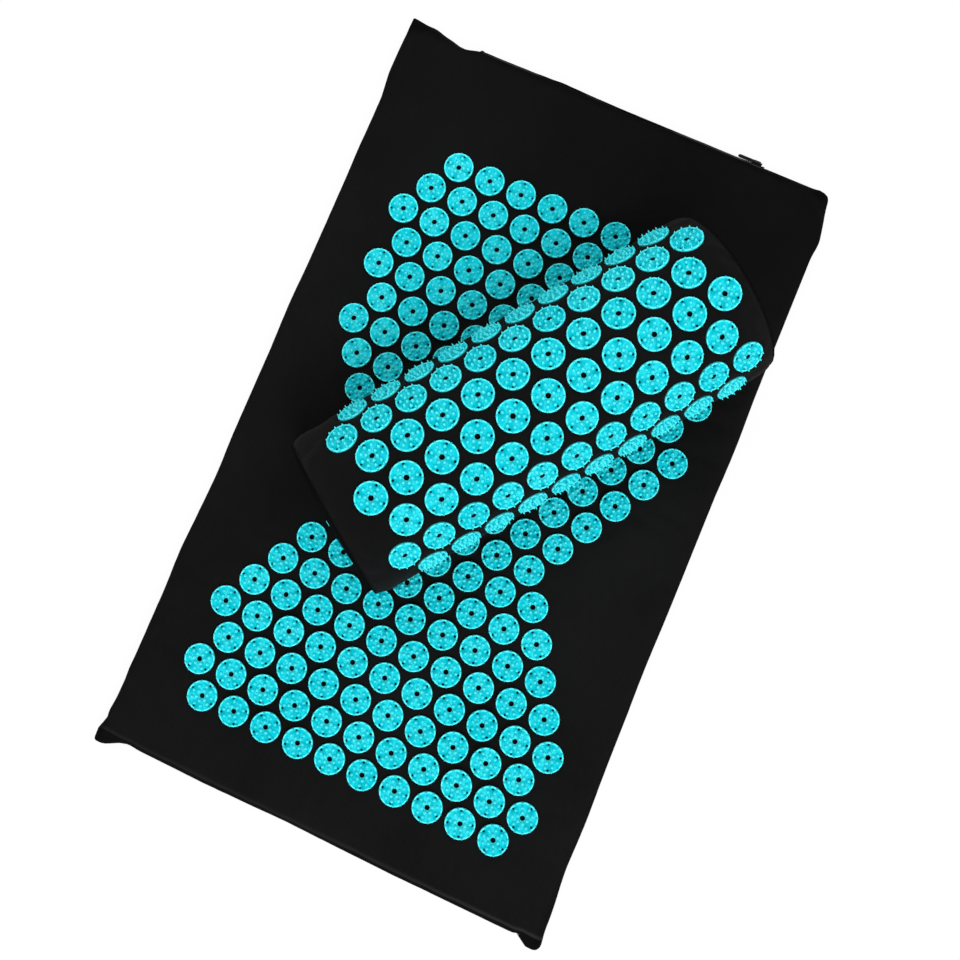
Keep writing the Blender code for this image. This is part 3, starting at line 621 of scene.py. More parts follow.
def plate_surface():
    """A round plate: rings of points over its top, round its rim and under it. At four places a block of
    2 by 2 cells is left out, its 8 edge points go on to a circle, and a wall joins the two circles."""
    sides = PLATE_SIDES
    low, mid, high = RIM_HOLE_PLACE - RIM_HOLE_CELL, RIM_HOLE_PLACE, RIM_HOLE_PLACE + RIM_HOLE_CELL
    rings = [
        (CENTRE_HOLE_RADIUS, 0.0), (CENTRE_HOLE_RADIUS, 1.9 * MM), (low, 2.0 * MM), (mid, 2.0 * MM),
        (high, 2.0 * MM), (DISC_RADIUS - 1.08 * MM, 2.0 * MM), (DISC_RADIUS - 0.8 * MM, 2.3 * MM),
        (DISC_RADIUS - 0.15 * MM, 2.2 * MM), (DISC_RADIUS, 1.7 * MM), (DISC_RADIUS, 0.1 * MM),
        (high, 0.0), (mid, 0.0), (low, 0.0),
    ]
    points = np.array([polar_ring(r, z, sides) for r, z in rings])
    count = len(rings)
    ring, step = np.divmod(np.arange(count * sides), sides)
    ahead, beyond = (step + 1) % sides, (ring + 1) % count
    near, far = ring * sides, beyond * sides
    quads = np.stack((near + step, near + ahead, far + ahead, far + step), -1)
    open_cells, walls = np.zeros(count * sides, bool), []
    for hole in range(4):
        j = hole * sides // 4
        before, after = (j - 1) % sides, j + 1
        centre = points[3, j, :2].copy()
        loops = []
        for a, b, c in ((2, 3, 4), (12, 11, 10)):
            block_ring = np.array((a, a, a, b, c, c, c, b))
            block_step = np.array((before, j, after, after, after, j, before, before))
            away = points[block_ring, block_step, :2] - centre
            away *= RIM_HOLE_RADIUS / np.hypot(*away.T)[:, None]
            points[block_ring, block_step, :2] = centre + away
            cell_rings = np.repeat((min(a, b), min(b, c)), 2)
            open_cells[cell_rings * sides + np.tile((before, j), 2)] = True
            loops.append(block_ring * sides + block_step)
        top, under = loops
        walls.append(np.stack((top, np.roll(top, -1), np.roll(under, -1), under), -1))
    return points.reshape(-1, 3), np.concatenate([quads[~open_cells]] + walls)


def spike_surface():
    """One spike: a blunt pointed bell of six sides, its rings' radii falling quickly and then evenly."""
    sides = SPIKE_SIDES
    rings = [(1.0, -0.05), (0.62, 0.20), (0.32, 0.72)]
    points = [polar_ring(SPIKE_FOOT_RADIUS * r, SPIKE_HEIGHT * z, sides) for r, z in rings]
    points = np.concatenate(points + [np.array(((0, 0, SPIKE_HEIGHT),))]) + (0, 0, PLATE_THICKNESS)
    tip = len(points) - 1
    foot = np.arange(sides)[None, ::-1]
    return points, grid_faces(len(rings), sides, around=True), fan(tip, tip - sides, sides), foot


# How pale the plastic is, from 0 to 1: on the plate; the painted highlights that the rim, the collar round the
# centre hole and the spikes' tips add; and the painted shade round the rim holes
PALE_PLATE, PAINTED_RIM_HIGHLIGHT, PAINTED_COLLAR_HIGHLIGHT, HOLE_SHADE = 0.06, 0.80, 0.3, 0.6
PALE_SPIKE_FOOT, PAINTED_TIP_HIGHLIGHT = 0.10, 0.58


def disc_master():
    """The plate with its rings of spikes, and how pale each point is: painted highlights, the palest, on the
    rim and towards the spikes' tips, and round the centre hole; painted shade round the rim holes.
    """
    plate, plate_quads = plate_surface()
    spike, spike_quads, spike_fan, spike_foot = spike_surface()
    reach = np.hypot(plate[:, 0], plate[:, 1])
    rim = (reach > DISC_RADIUS - RIM_BREADTH) & (plate[:, 2] > PLATE_THICKNESS / 2)
    collar = (reach < CENTRE_HOLE_RADIUS * 1.1) & (plate[:, 2] > PLATE_THICKNESS / 2)
    off_hole = np.abs(plate[:, None, :2] - polar_ring(RIM_HOLE_PLACE, 0.0, 4)[None, :, :2])
    near_hole = (np.hypot(off_hole[..., 0], off_hole[..., 1]) < RIM_HOLE_RADIUS * 1.05).any(1)
    up = np.clip((spike[:, 2] - PLATE_THICKNESS) / (SPIKE_HEIGHT * 0.6), 0, 1)
    spike_tone_and_highlight = PALE_SPIKE_FOOT + PAINTED_TIP_HIGHLIGHT * up
    plate_tone_and_painted_light = PALE_PLATE + PAINTED_RIM_HIGHLIGHT * rim + PAINTED_COLLAR_HIGHLIGHT * collar - HOLE_SHADE * near_hole
    points, pale = [plate], [plate_tone_and_painted_light]
    faces = [[plate_quads], [], []]
    start = len(plate)
    for count, share, turn, breadth in SPIKE_RINGS:
        own = spike * (breadth, breadth, 1) + (DISC_RADIUS * share, 0, 0)
        for angle in math.radians(turn) + np.arange(count) * math.tau / count:
            points.append(turned_about_z(own, angle))
            pale.append(spike_tone_and_highlight)
            for kind, group in zip(faces, (spike_quads, spike_fan, spike_foot)):
                kind.append(group + start)
            start += len(spike)
    return np.concatenate(points), np.concatenate(pale), [np.concatenate(kind) for kind in faces]


DISC_POINTS, DISC_PALENESS_AND_PAINTED_LIGHT, DISC_FACES = disc_master()


def row_of_discs(name, places, body, nodes, lay=None):
    """Every disc of one row as one mesh: the master turned by its own angle about its axis, then set on
    its place: origin + x X + y Y + z Z."""
    turns = whims.uniform(0, math.tau, len(places))
    shades = whims.normal(0, SHADE_SPREAD, len(places))
    points, pale = [], []
    for (origin, *axes), turn, shade in zip(places, turns, shades):
        local = turned_about_z(DISC_POINTS + (0, 0, DISC_SEAT), turn)
        points.append(origin + local @ np.array(axes))
        pale.append(DISC_PALENESS_AND_PAINTED_LIGHT + shade)
    step = len(DISC_POINTS)
    starts = np.arange(len(places))[:, None, None] * step
    faces = [(kind + starts).reshape(-1, kind.shape[1]) for kind in DISC_FACES]
    points = np.concatenate(points)
    if lay is not None:
        points = lay(points)
    marks = {"pale": np.concatenate(pale)}
    obj = piece(name, points, faces, cyan_plastic, body, marks=marks)
    if nodes:
        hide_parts(*nodes)


# The mat's fabric

# How the cover wanders from its straight sides, outwards positive, in millimetres:
# (side, place along it, amount, width)
SWELLS = (
    ("far", -167, -4.4, 12.5), ("far", -62, 1.2, 30), ("far", 22, -0.9, 30), ("far", 211, 0.9, 4),
    ("near", 202, -1.5, 4), ("near", -190, -0.9, 6), ("near", -30, -0.8, 34), ("near", -120, 0.4, 25),
    ("near", 75, 0.3, 25), ("right", -368, 1.5, 8), ("right", -260, 1.3, 40), ("right", -110, -0.8, 40),
    ("right", 112, 1.1, 36),
    ("right", 325, 1.8, 10), ("left", -348, 1.5, 8), ("left", -190, 1.4, 24), ("left", -112, -1.2, 26),
    ("left", 68, 1.0, 30), ("left", 236, 0.4, 20),
)
# Dog-ears: (side, where it starts, where it is full, reach) in millimetres
EARS = (
    ("far", -184, -200, 3.3), ("far", -204, -222, 2.0),
    ("near", -194, -216, 8.8), ("near", 200, 212, 6.2),
    ("right", -296, -350, 3.6), ("right", 334, 372, -4.6),
    ("left", -355, -362, 4.9), ("left", 286, 322, 3.0),
)
# How far each corner is rounded, in millimetres: near left, near right, far left, far right
CORNER_ROUNDS = (3.5, 6.0, 1.5, 7.5)


def wander(side, place):
    """How far one side of the cover strays from its straight line, at places along it."""
    off = np.zeros_like(place)
    for which, at, amount, width in SWELLS:
        if which == side:
            off += amount * MM * bump(place - at * MM, width * MM)
    for which, start, full, reach in EARS:
        if which == side:
            off += reach * MM * smooth_step((place - start * MM) / ((full - start) * MM))
    return off


# Soft creases on the top: from, to, half width and height in millimetres
CREASES = (
    (-222, -308, -138, -355, 6, 1.5), (-214, -326, -150, -368, 6, -1.2), (-222, -96, -188, -108, 5, -0.7),
    (-222, -122, -196, -128, 4, 0.6), (-222, -196, -184, -203, 5, -0.7), (-220, -40, -192, -34, 5, 0.5),
    (-222, 20, -190, 12, 6, -0.5), (222, 62, 196, 70, 5, -0.9), (222, 84, 188, 88, 4, 0.6),
    (222, 40, 200, 50, 4, -0.6), (222, -150, 196, -160, 6, 0.5), (-206, 352, -168, 330, 6, -0.8),
    (-214, 372, -176, 366, 4, -0.8), (206, -372, 186, -346, 5, -0.9), (-214, -372, -192, -352, 5, -0.9),
    (210, 366, 176, 344, 9, -0.3), (-60, 374, -52, 338, 6, 0.4), (70, 374, 66, 342, 7, -0.4),
)
# The share of a crease's length at its full height, and the run over which it starts
CREASE_FULL, CREASE_LEAD = 0.45, 12 * MM


def crease_heights(x, y):
    """The sum of soft furrows and ridges: height times a hump across the crease, faded at its two ends."""
    total = np.zeros_like(x)
    for x0, y0, x1, y1, width, height in CREASES:
        start, run = np.array((x0, y0)) * MM, np.array((x1 - x0, y1 - y0)) * MM
        length = np.hypot(*run)
        along = ((x - start[0]) * run[0] + (y - start[1]) * run[1]) / length
        across = ((y - start[1]) * run[0] - (x - start[0]) * run[1]) / length
        fade = smooth_step(1 - (along / length - CREASE_FULL) / (1 - CREASE_FULL))
        fade = fade * smooth_step(1 + (along + CREASE_LEAD) / CREASE_LEAD)
        total += height * MM * bump(across, width * MM) * fade
    return total


def seam_puckers(place, depth, phase):
    """Small gathers that the seam's stitches draw in: two waves whose sizes beat, fading with depth."""
    stitch, slow, beat = np.array((3.1, 7.7, 17)) * MM
    wave = np.sin(place / stitch + phase) * (0.5 + 0.5 * np.sin(place / beat + 2 * phase))
    wave = wave + 0.6 * np.sin(place / slow + 3 * phase)
    return wave * np.exp(-depth / PUCKER_REACH)


class MatCover:
    """Half of the mat's cover as a grid: flat in the middle, rolled over at its edges, drawn to the seam."""

    def __init__(self, x, y, sign):
        self.x, self.y = np.meshgrid(x, y)
        self.sign = sign
        self.dx = np.clip(MAT_WIDTH / 2 - np.abs(self.x), 0, None)
        self.dy = np.clip(MAT_LENGTH / 2 - np.abs(self.y), 0, None)

    def rise(self, depth, radius):
        """A superellipse quarter: (1 - (1 - d / R) ** p) ** (1 / p)."""
        return (1 - np.clip(1 - depth / radius, 0, 1) ** ROLL_POWER) ** (1 / ROLL_POWER)

    def rounded(self):
        """The flat grid with its corners rounded: with a and b the shares of the way from a rounding's
        centre to the two sides, x comes in by R a (1 - sqrt(1 - b squared / 2)), and y likewise."""
        which = (self.x > 0) + 2 * (self.y > 0)
        reach = np.array(CORNER_ROUNDS)[which] * MM
        a, b = np.clip(1 - self.dx / reach, 0, 1), np.clip(1 - self.dy / reach, 0, 1)
        x = self.x - np.sign(self.x) * reach * a * (1 - np.sqrt(1 - b * b / 2))
        return x, self.y - np.sign(self.y) * reach * b * (1 - np.sqrt(1 - a * a / 2))

    def points(self):
        """The grid's points: rolled over at the sides, straight behind the zip's tapes, with every side
        wandering as its swells and ears say, and the whole out of square."""
        corner = bump(np.hypot(self.dx, self.dy), CORNER_ROLL_WIDTH)
        radius = ROLL_RADIUS + CORNER_ROLL_RADIUS * corner
        height = self.rise(self.dx, radius) * self.rise(self.dy, radius)
        zip_run = smooth_step((MAT_ZIP_LENGTH / 2 - np.abs(self.x)) / ZIP_END_EASE + 0.5)
        window = (self.y > 0) & (self.dy < SEAM_ROW)
        height = np.maximum(height, window * zip_run * ZIP_WINDOW_REACH / MAT_MIDDLE)
        z = height * (MAT_MIDDLE - SEAM_HALF_GAP) + SEAM_HALF_GAP
        z += (self.sign > 0) * self.details(height)
        side = np.where(self.x > 0, wander("right", self.y), wander("left", self.y))
        end = np.where(self.y > 0, wander("far", self.x), wander("near", self.x))
        end = end - (self.sign > 0) * np.where(self.y > 0, FAR_LEAN, NEAR_LEAN) * smooth_step(height * 2)
        x, y = self.rounded()
        x = x + np.sign(self.x) * side * (1 - smooth_step(self.dx / WANDER_DEPTH))
        y = y + np.sign(self.y) * end * (1 - smooth_step(self.dy / WANDER_DEPTH))
        return out_of_square(np.stack((x, y, MAT_MIDDLE + self.sign * z), -1))

    def details(self, height):
        """Creases, seam gathers, and the fold between each corner's body and its ear."""
        lift = crease_heights(self.x, self.y)
        gathers = seam_puckers(self.y, self.dx, np.sign(self.x))
        gathers = gathers + seam_puckers(self.x, self.dy, 2 + np.sign(self.y))
        from_corner = np.hypot(self.dx, self.dy)
        fold = -EAR_FOLD_DEPTH * bump(from_corner - EAR_FOLD_PLACE, EAR_FOLD_WIDTH)
        slack = SLACK_SIZE * np.sin(self.x / SLACK_ACROSS + 1.3) * np.sin(self.y / SLACK_ALONG + 0.4)
        return (lift + GATHER_SIZE * gathers + slack) * smooth_step(height * 1.4) + fold * height


# Places of the grid's rows in from an edge, its spacings, and the run beyond a disc that its seat takes
EDGE_STEPS = [0, 0.6 * MM, 1.6 * MM, 3.2 * MM, 5.4 * MM, 8.2 * MM, 11.6 * MM, 15.6 * MM]
MAT_TOP_SPACING, MAT_COARSE_SPACING, MAT_FOAM_SPACING = 3.4 * MM, 7 * MM, 14 * MM
MAT_SEAT_RUN = 2.6 * MM


def give(coarse_points, rows, columns, pinned, pressure, cap):
    """How far cotton gives under the filling's pressure: a cloth simulation of the coarse grid, held at its
    pinned points, whose moves are capped. It returns an array of moves."""
    points = coarse_points.reshape(-1, 3)
    obj = piece("give", points, grid_faces(rows, columns), black_cotton)
    held = obj.vertex_groups.new(name="held")
    held.add(np.flatnonzero(pinned).tolist(), 1.0, "REPLACE")
    cloth = obj.modifiers.new("cloth", "CLOTH")
    settings = cloth.settings
    settings.quality = 5
    settings.mass = 0.3
    settings.tension_stiffness = SIM_STIFFNESS
    settings.compression_stiffness = SIM_STIFFNESS
    settings.shear_stiffness = 4.0
    settings.bending_stiffness = 0.2
    settings.vertex_group_mass = "held"
    settings.use_pressure = True
    settings.uniform_pressure_force = pressure
    settings.shrink_min = -0.02
    settings.shrink_max = -0.02
    settings.effector_weights.gravity = 0
    cloth.collision_settings.use_collision = False
    scene = bpy.context.scene
    for step in range(1, SIM_FRAMES + 1):
        scene.frame_set(step)
    graph = bpy.context.evaluated_depsgraph_get()
    eased = bpy.data.meshes.new_from_object(obj.evaluated_get(graph))
    moves = points_of(eased) - points
    bpy.data.objects.remove(obj)
    scene.frame_set(1)
    size = np.linalg.norm(moves, axis=1, keepdims=True)
    return moves * np.minimum(1, cap / np.maximum(size, 1e-9))


def spread_moves(moves, coarse, fine):
    """Moves on a coarse grid carried to a fine one, row by row and column by column."""
    (x0, y0), (x1, y1) = coarse, fine
    grid = moves.reshape(len(y0), len(x0), 3)
    for old, new in ((x0, x1), (y0, y1)):
        lines = [[np.interp(new, old, line[:, k]) for line in grid] for k in range(3)]
        grid = np.stack(lines, -1).swapaxes(0, 1)
    full = grid
    for _ in range(2):
        full[1:-1] = (full[:-2] + 2 * full[1:-1] + full[2:]) / 4
        full = full.swapaxes(0, 1)
    return full


def mat_half(name, sign, spacing):
    """One half of the mat's cover, eased by its filling, pressed flat by its discs."""
    x = ruler(MAT_WIDTH, EDGE_STEPS, spacing)
    y = ruler(MAT_LENGTH, EDGE_STEPS, spacing)
    points = MatCover(x, y, sign).points()
    if sign > 0:
        cx, cy = (ruler(length, EDGE_STEPS[::2], MAT_COARSE_SPACING) for length in (MAT_WIDTH, MAT_LENGTH))
        cover = MatCover(cx, cy, sign)
        start = cover.points()
        flat = start.reshape(-1, 3)
        pinned = (np.minimum(cover.dx, cover.dy) < MAT_SEAM_HELD).ravel()
        for places in MAT_ROWS_OF_DISCS:
            for origin, *_ in places:
                pinned |= np.hypot(*(flat - origin)[:, :2].T) < DISC_RADIUS
        moves = give(start, len(cy), len(cx), pinned, MAT_PRESSURE, MAT_GIVE)
        points = points + spread_moves(moves, (cx, cy), (x, y))
    flat = points.reshape(-1, 3)
    faces = grid_faces(len(y), len(x))
    if sign > 0:
        flat = pressed_by_discs(flat, np.concatenate(MAT_ROWS_OF_DISCS), DISC_RADIUS + MAT_SEAT_RUN)
        cloth = mat_cotton
    else:
        flat[:, 2] = np.maximum(flat[:, 2], 0)
        faces, cloth = faces[:, ::-1], black_cotton
    uv = np.stack(np.meshgrid(x, y), -1).reshape(-1, 2)
    return cloth_wall(piece(name, flat, faces, cloth, "mat", uv=uv))


def mat_filling():
    """The foam pad: both halves of the cover's form drawn in by the wall and the slider's wing."""
    x, y = (ruler(length, EDGE_STEPS, MAT_FOAM_SPACING) for length in (MAT_WIDTH, MAT_LENGTH))
    top, bottom = MatCover(x, y, 1), MatCover(x, y, -1)
    shrink = 1 - MAT_FOAM_INSET / np.array((MAT_WIDTH / 2, MAT_LENGTH / 2))
    layers = []
    for half in (top, bottom):
        flat = half.points().reshape(-1, 3)
        reach = np.clip((flat[:, 2] - MAT_MIDDLE) * 0.8, MAT_FOAM_LOW, MAT_FOAM_HIGH)
        layers.append(np.column_stack((flat[:, :2] * shrink, MAT_MIDDLE + reach)))
    faces = grid_faces(len(y), len(x))
    both = np.concatenate((faces, faces[:, ::-1] + len(layers[0])))
    # Painted shade on the foam behind the zip
    zip_shade = (top.y > 0) & (top.dy < ZIP_SHADE_REACH) & (np.abs(top.x) < MAT_ZIP_LENGTH / 2 + ZIP_SHADE_REACH)
    pad = piece("mat_foam_filling", np.concatenate(layers), both, pale_foam, "mat",
                marks={"zip_shade": np.tile(zip_shade.ravel(), 2)})
    close_edges(pad)
    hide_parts("mat_foam_pad")


def close_edges(obj):
    """Joins the two open rims of a body by a strip of faces."""
    bm = bmesh.new()
    bm.from_mesh(obj.data)
    bmesh.ops.remove_doubles(bm, verts=bm.verts, dist=MERGE_REACH)
    rims = [edge for edge in bm.edges if edge.is_boundary]
    if rims:
        bmesh.ops.bridge_loops(bm, edges=rims)
    bmesh.ops.recalc_face_normals(bm, faces=bm.faces)
    for face in bm.faces:
        face.smooth = True
    bm.to_mesh(obj.data)
    bm.free()


def build_mat():
    """The mat: its cover, its foam and its rows of discs, three of which hold the CAD's own seven discs."""
    top = mat_half("mat_cover_top_panel", 1, MAT_TOP_SPACING)
    bottom = mat_half("mat_cover_bottom_panel", -1, MAT_COARSE_SPACING)
    for obj, node in ((top, "mat_cover_top"), (bottom, "mat_cover_bottom")):
        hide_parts(node)
    mat_filling()
    rosette = {2: ("mat_spike_disc_01", "mat_spike_disc_02"),
               3: ("mat_spike_disc_03", "mat_spike_disc_04", "mat_spike_disc_05"),
               4: ("mat_spike_disc_06", "mat_spike_disc_07")}
    for row, places in enumerate(MAT_ROWS_OF_DISCS):
        row_of_discs(f"mat_discs_row_{row + 1:02d}", places, "mat", rosette.get(row, ()))


# The pillow's fabric


def pillow_placed(points):
    """From the pillow's own frame to the part's: turned about Z, then moved."""
    return turned_about_z(points, PILLOW_TURN) + PILLOW_PLACE


def section_table(inset, floor):
    """The pillow's section as dense (across, height) points from the near foot over the crest to the far
    foot, with arc lengths counted from the crest."""
    half = PILLOW_HALF_WIDTH - inset
    angle = np.linspace(0, math.pi / 2, 200)
    dome_u = half * np.sin(angle)
    dome_z = PILLOW_WIDEST + (PILLOW_CREST_RISE - inset) * np.cos(angle)
    down = np.linspace(0, 1, 80)[1:]
    foot_z = PILLOW_WIDEST + (floor - PILLOW_WIDEST) * down
    drawn = smooth_step((PILLOW_FOOT_HEIGHT - foot_z) / (PILLOW_FOOT_HEIGHT - floor))
    foot_u = half - PILLOW_FOOT_DRAW * drawn
    u, z = np.concatenate((dome_u, foot_u)), np.concatenate((dome_z, foot_z))
    return arc_lengths(u, z), u, z


class PillowForm:
    """The pillow's skin: its section carried along its length, with ends that round over and lean in."""

    def __init__(self, half_length, inset=0.0, floor=BASE_SHELL):
        self.half_length, self.floor = half_length, floor
        self.arc, self.u, self.z = section_table(inset, floor)
        self.total = self.arc[-1]

    def points(self, along, arcs):
        """Points for arrays of places along the pillow and arc lengths from the crest."""
        share = np.minimum(np.abs(arcs) / self.total, 1) * self.total
        u = np.sign(arcs) * np.interp(share, self.arc, self.u)
        z = np.interp(share, self.arc, self.z)
        run = np.clip((self.half_length - np.abs(along)) / END_ROUND, 0, 1)
        drawn = 1 - END_DRAW * (1 - run) ** 2
        height = self.floor + (z - self.floor) * drawn
        lean = np.where(along > 0, RIGHT_END_LEAN, LEFT_END_LEAN) * height / PILLOW_HEIGHT
        taper = (self.half_length - lean) / self.half_length
        return np.stack((along * taper, u * drawn, height), -1)


# Places of the top panel's grid in from its ends and from its feet, its spacings, the run of a seat, and
# the same for the foam
PILLOW_STEPS = [0, 0.8 * MM, 2.0 * MM, 3.8 * MM, 6.2 * MM, 9.0 * MM]
PILLOW_FOOT_STEPS = [0, 1.2 * MM, 3 * MM]
PILLOW_SPACING, PILLOW_COARSE_SPACING = 2.7 * MM, 6.5 * MM
PILLOW_SEAT_RUN = 2.4 * MM
PILLOW_FOAM_STEPS, PILLOW_FOAM_SPACING = [0, 3 * MM, 9 * MM], 16 * MM


def pillow_top():
    """The pillow's top panel, with a window on its far side for the zip."""
    half_length = PILLOW_LENGTH / 2 - BASE_SHELL
    form = PillowForm(half_length)
    along = ruler(2 * half_length, PILLOW_STEPS, PILLOW_SPACING)
    arcs = ruler(2 * form.total, PILLOW_FOOT_STEPS, PILLOW_SPACING)
    gx, ga = np.meshgrid(along, arcs)
    points = form.points(gx, ga)
    places = np.concatenate(PILLOW_ROWS_OF_DISCS)
    coarse = (ruler(2 * half_length, PILLOW_STEPS[::2], PILLOW_COARSE_SPACING),
              ruler(2 * form.total, PILLOW_FOOT_STEPS[::2], PILLOW_COARSE_SPACING))
    cx, ca = np.meshgrid(*coarse)
    start = form.points(cx, ca)
    flat = start.reshape(-1, 3)
    at_seam = half_length - np.abs(cx) < PILLOW_SEAM_HELD
    at_foot = form.total - np.abs(ca) < PILLOW_FOOT_HELD
    pinned = (at_seam | at_foot).ravel()
    for origin, *axes in places:
        local = (flat - origin) @ np.array(axes).T
        under = np.abs(local[:, 2]) < HELD_UNDER_DISC
        pinned |= (np.hypot(local[:, 0], local[:, 1]) < DISC_RADIUS) & under
    moves = give(start, len(coarse[1]), len(coarse[0]), pinned, PILLOW_PRESSURE, PILLOW_GIVE)
    points = points + spread_moves(moves, coarse, (along, arcs))
    end = half_length - np.abs(gx)
    foot = form.total - np.abs(ga)
    turn = ga / (PILLOW_HALF_WIDTH * 1.25)
    normal = np.stack((0 * gx, np.sin(turn), np.cos(turn)), -1)
    gathers = TOP_GATHER * seam_puckers(ga, end, np.sign(gx)) * smooth_step(end / TOP_GATHER_START)
    slack = TOP_SLACK * np.sin(ga / TOP_SLACK_WAVE + np.sign(gx))
    slack = slack * bump(end - TOP_SLACK_PLACE, TOP_SLACK_WIDTH)
    lift = (gathers + slack) * smooth_step((foot - FOOT_CALM) / FOOT_CALM_RUN)
    flat = (points + normal * lift[..., None]).reshape(-1, 3)
    flat = pressed_by_discs(flat, places, DISC_RADIUS + PILLOW_SEAT_RUN)
    faces = grid_faces(len(arcs), len(along))
    middles = flat[faces].mean(1)
    in_zip = (np.abs(middles[:, 0]) < PILLOW_ZIP_LENGTH / 2) & (middles[:, 1] > 0)
    in_zip &= np.abs(middles[:, 2] - PILLOW_ZIP_HEIGHT) < ZIP_WINDOW_REACH
    uv = np.stack((gx, ga), -1).reshape(-1, 2)
    obj = piece("pillow_cover_top_panel", pillow_placed(flat), faces[~in_zip], black_cotton, "pillow",
                uv=uv)
    cloth_wall(obj)
    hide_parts("pillow_cover_top")


def pillow_end(name, node, side):
    """A D-shaped end panel: rings of the section drawn in to its middle, bulging out by 1 - r squared."""
    form = PillowForm(PILLOW_LENGTH / 2)
    arcs = np.linspace(-form.total, form.total, 97)
    shares = np.array((1.0, 0.985, 0.95, 0.88, 0.78, 0.66, 0.52, 0.38, 0.24, 0.1))
    base = np.linspace(1, -1, 40)[1:-1]
    rim = form.points(np.full(len(arcs), side * PILLOW_LENGTH / 2), arcs)
    foot = rim[-1] * 0.5 * (1 + base[:, None]) + rim[0] * 0.5 * (1 - base[:, None])
    rim = np.concatenate((rim, foot))
    middle = np.array((side * (PILLOW_LENGTH / 2 - END_MIDDLE_INSET), 0, END_MIDDLE_HEIGHT))
    out = np.array((side, 0, (RIGHT_END_LEAN if side > 0 else LEFT_END_LEAN) / PILLOW_HEIGHT))
    angle = np.arctan2(rim[:, 2] - middle[2], rim[:, 1])
    stitches = np.sin(angle * END_PUCKERS_A_RADIAN) * (rim[:, 2] > END_PUCKER_FLOOR)
    rings = []
    for share in shares:
        ring = middle + (rim - middle) * share
        swell = END_BULGE * (1 - share**2.6)
        pucker = END_PUCKER * bump(share - END_PUCKER_PLACE, END_PUCKER_WIDTH) * stitches
        rings.append(ring + (swell + pucker)[:, None] * out)
    points = np.concatenate((np.concatenate(rings), (middle + END_BULGE * out)[None]))
    count = len(rim)
    faces = grid_faces(len(shares), count, around=True)
    hub = fan(len(points) - 1, (len(shares) - 1) * count, count)
    if side < 0:
        faces, hub = faces[:, ::-1], hub[:, ::-1]
    placed = pillow_placed(points)
    # The end panel's cloth is the darker copy of the cotton: painted shade
    obj = piece(name, placed, (faces, hub), shaded_end_cotton, "pillow", uv=points[:, 1:])
    cloth_wall(obj)
    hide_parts(node)


def pillow_piping(name, side):
    """The sewn edge between the top panel and an end panel: a thin welt along the section."""
    form = PillowForm(PILLOW_LENGTH / 2 - WELT_END_INSET, inset=WELT_SKIN_INSET)
    arcs = np.linspace(-1, 1, WELT_STEPS) * (form.total - WELT_FOOT_GAP)
    path = form.points(np.full(len(arcs), side * form.half_length), arcs)
    ahead = np.gradient(path, axis=0)
    ahead /= np.linalg.norm(ahead, axis=1, keepdims=True)
    aside = np.array((1.0, 0, 0)) - ahead * ahead[:, :1]
    aside /= np.linalg.norm(aside, axis=1, keepdims=True)
    up = np.cross(ahead, aside)
    count = WELT_SIDES
    turns = np.arange(count)[:, None] * math.tau / count
    radius = WELT_RADIUS + WELT_WAVE * np.sin(arcs / WELT_TWIST)
    around = np.cos(turns) * aside[:, None] + np.sin(turns) * up[:, None]
    tube = path[:, None] + radius[:, None, None] * around
    points = np.concatenate((tube.reshape(-1, 3), path[[0, -1]]))
    faces = grid_faces(len(arcs), count, around=True)
    total = len(arcs) * count
    first, final = fan(total, 0, count)[:, ::-1], fan(total + 1, total - count, count)
    uv = np.stack(np.meshgrid(np.arange(count) * WELT_SIDE_CLOTH, arcs), -1).reshape(-1, 2)
    uv = np.concatenate((uv, np.zeros((2, 2))))
    piece(name, pillow_placed(points), (faces, first, final), black_cotton, "pillow", uv=uv)


def pillow_base():
    """The base panel: a rounded rectangle, closed, with a soft edge."""
    half = np.array((PILLOW_LENGTH / 2, PILLOW_HALF_WIDTH - PILLOW_FOOT_DRAW))
    quarter = np.linspace(0, math.pi / 2, 8)
    rim = []
    for turn, sides in enumerate(((1, 1), (-1, 1), (-1, -1), (1, -1))):
        angles = quarter + turn * math.pi / 2
        arc = BASE_CORNER * np.stack((np.cos(angles), np.sin(angles)), -1)
        rim.append(sides * (half - BASE_CORNER) + arc)
    rim = np.concatenate(rim)
    levels = (
        (0.0, 0.6), (0.0, 0.985), (0.0, 0.997), (0.35 * MM, 1.0), (0.75 * MM, 1.0), (BASE_CLOTH, 0.995),
        (BASE_CLOTH, 0.6),
    )
    rings = [np.column_stack((rim * share, np.full(len(rim), z))) for z, share in levels]
    count = len(rim)
    points = np.concatenate(rings + [np.array(((0, 0, 0), (0, 0, BASE_CLOTH)))])
    faces = grid_faces(len(levels), count, around=True)
    total = len(levels) * count
    low, high = fan(total, 0, count)[:, ::-1], fan(total + 1, total - count, count)
    obj = piece("pillow_base_cloth", pillow_placed(points), (faces, low, high), black_cotton, "pillow",
                uv=points[:, :2])
    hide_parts("pillow_base_panel")


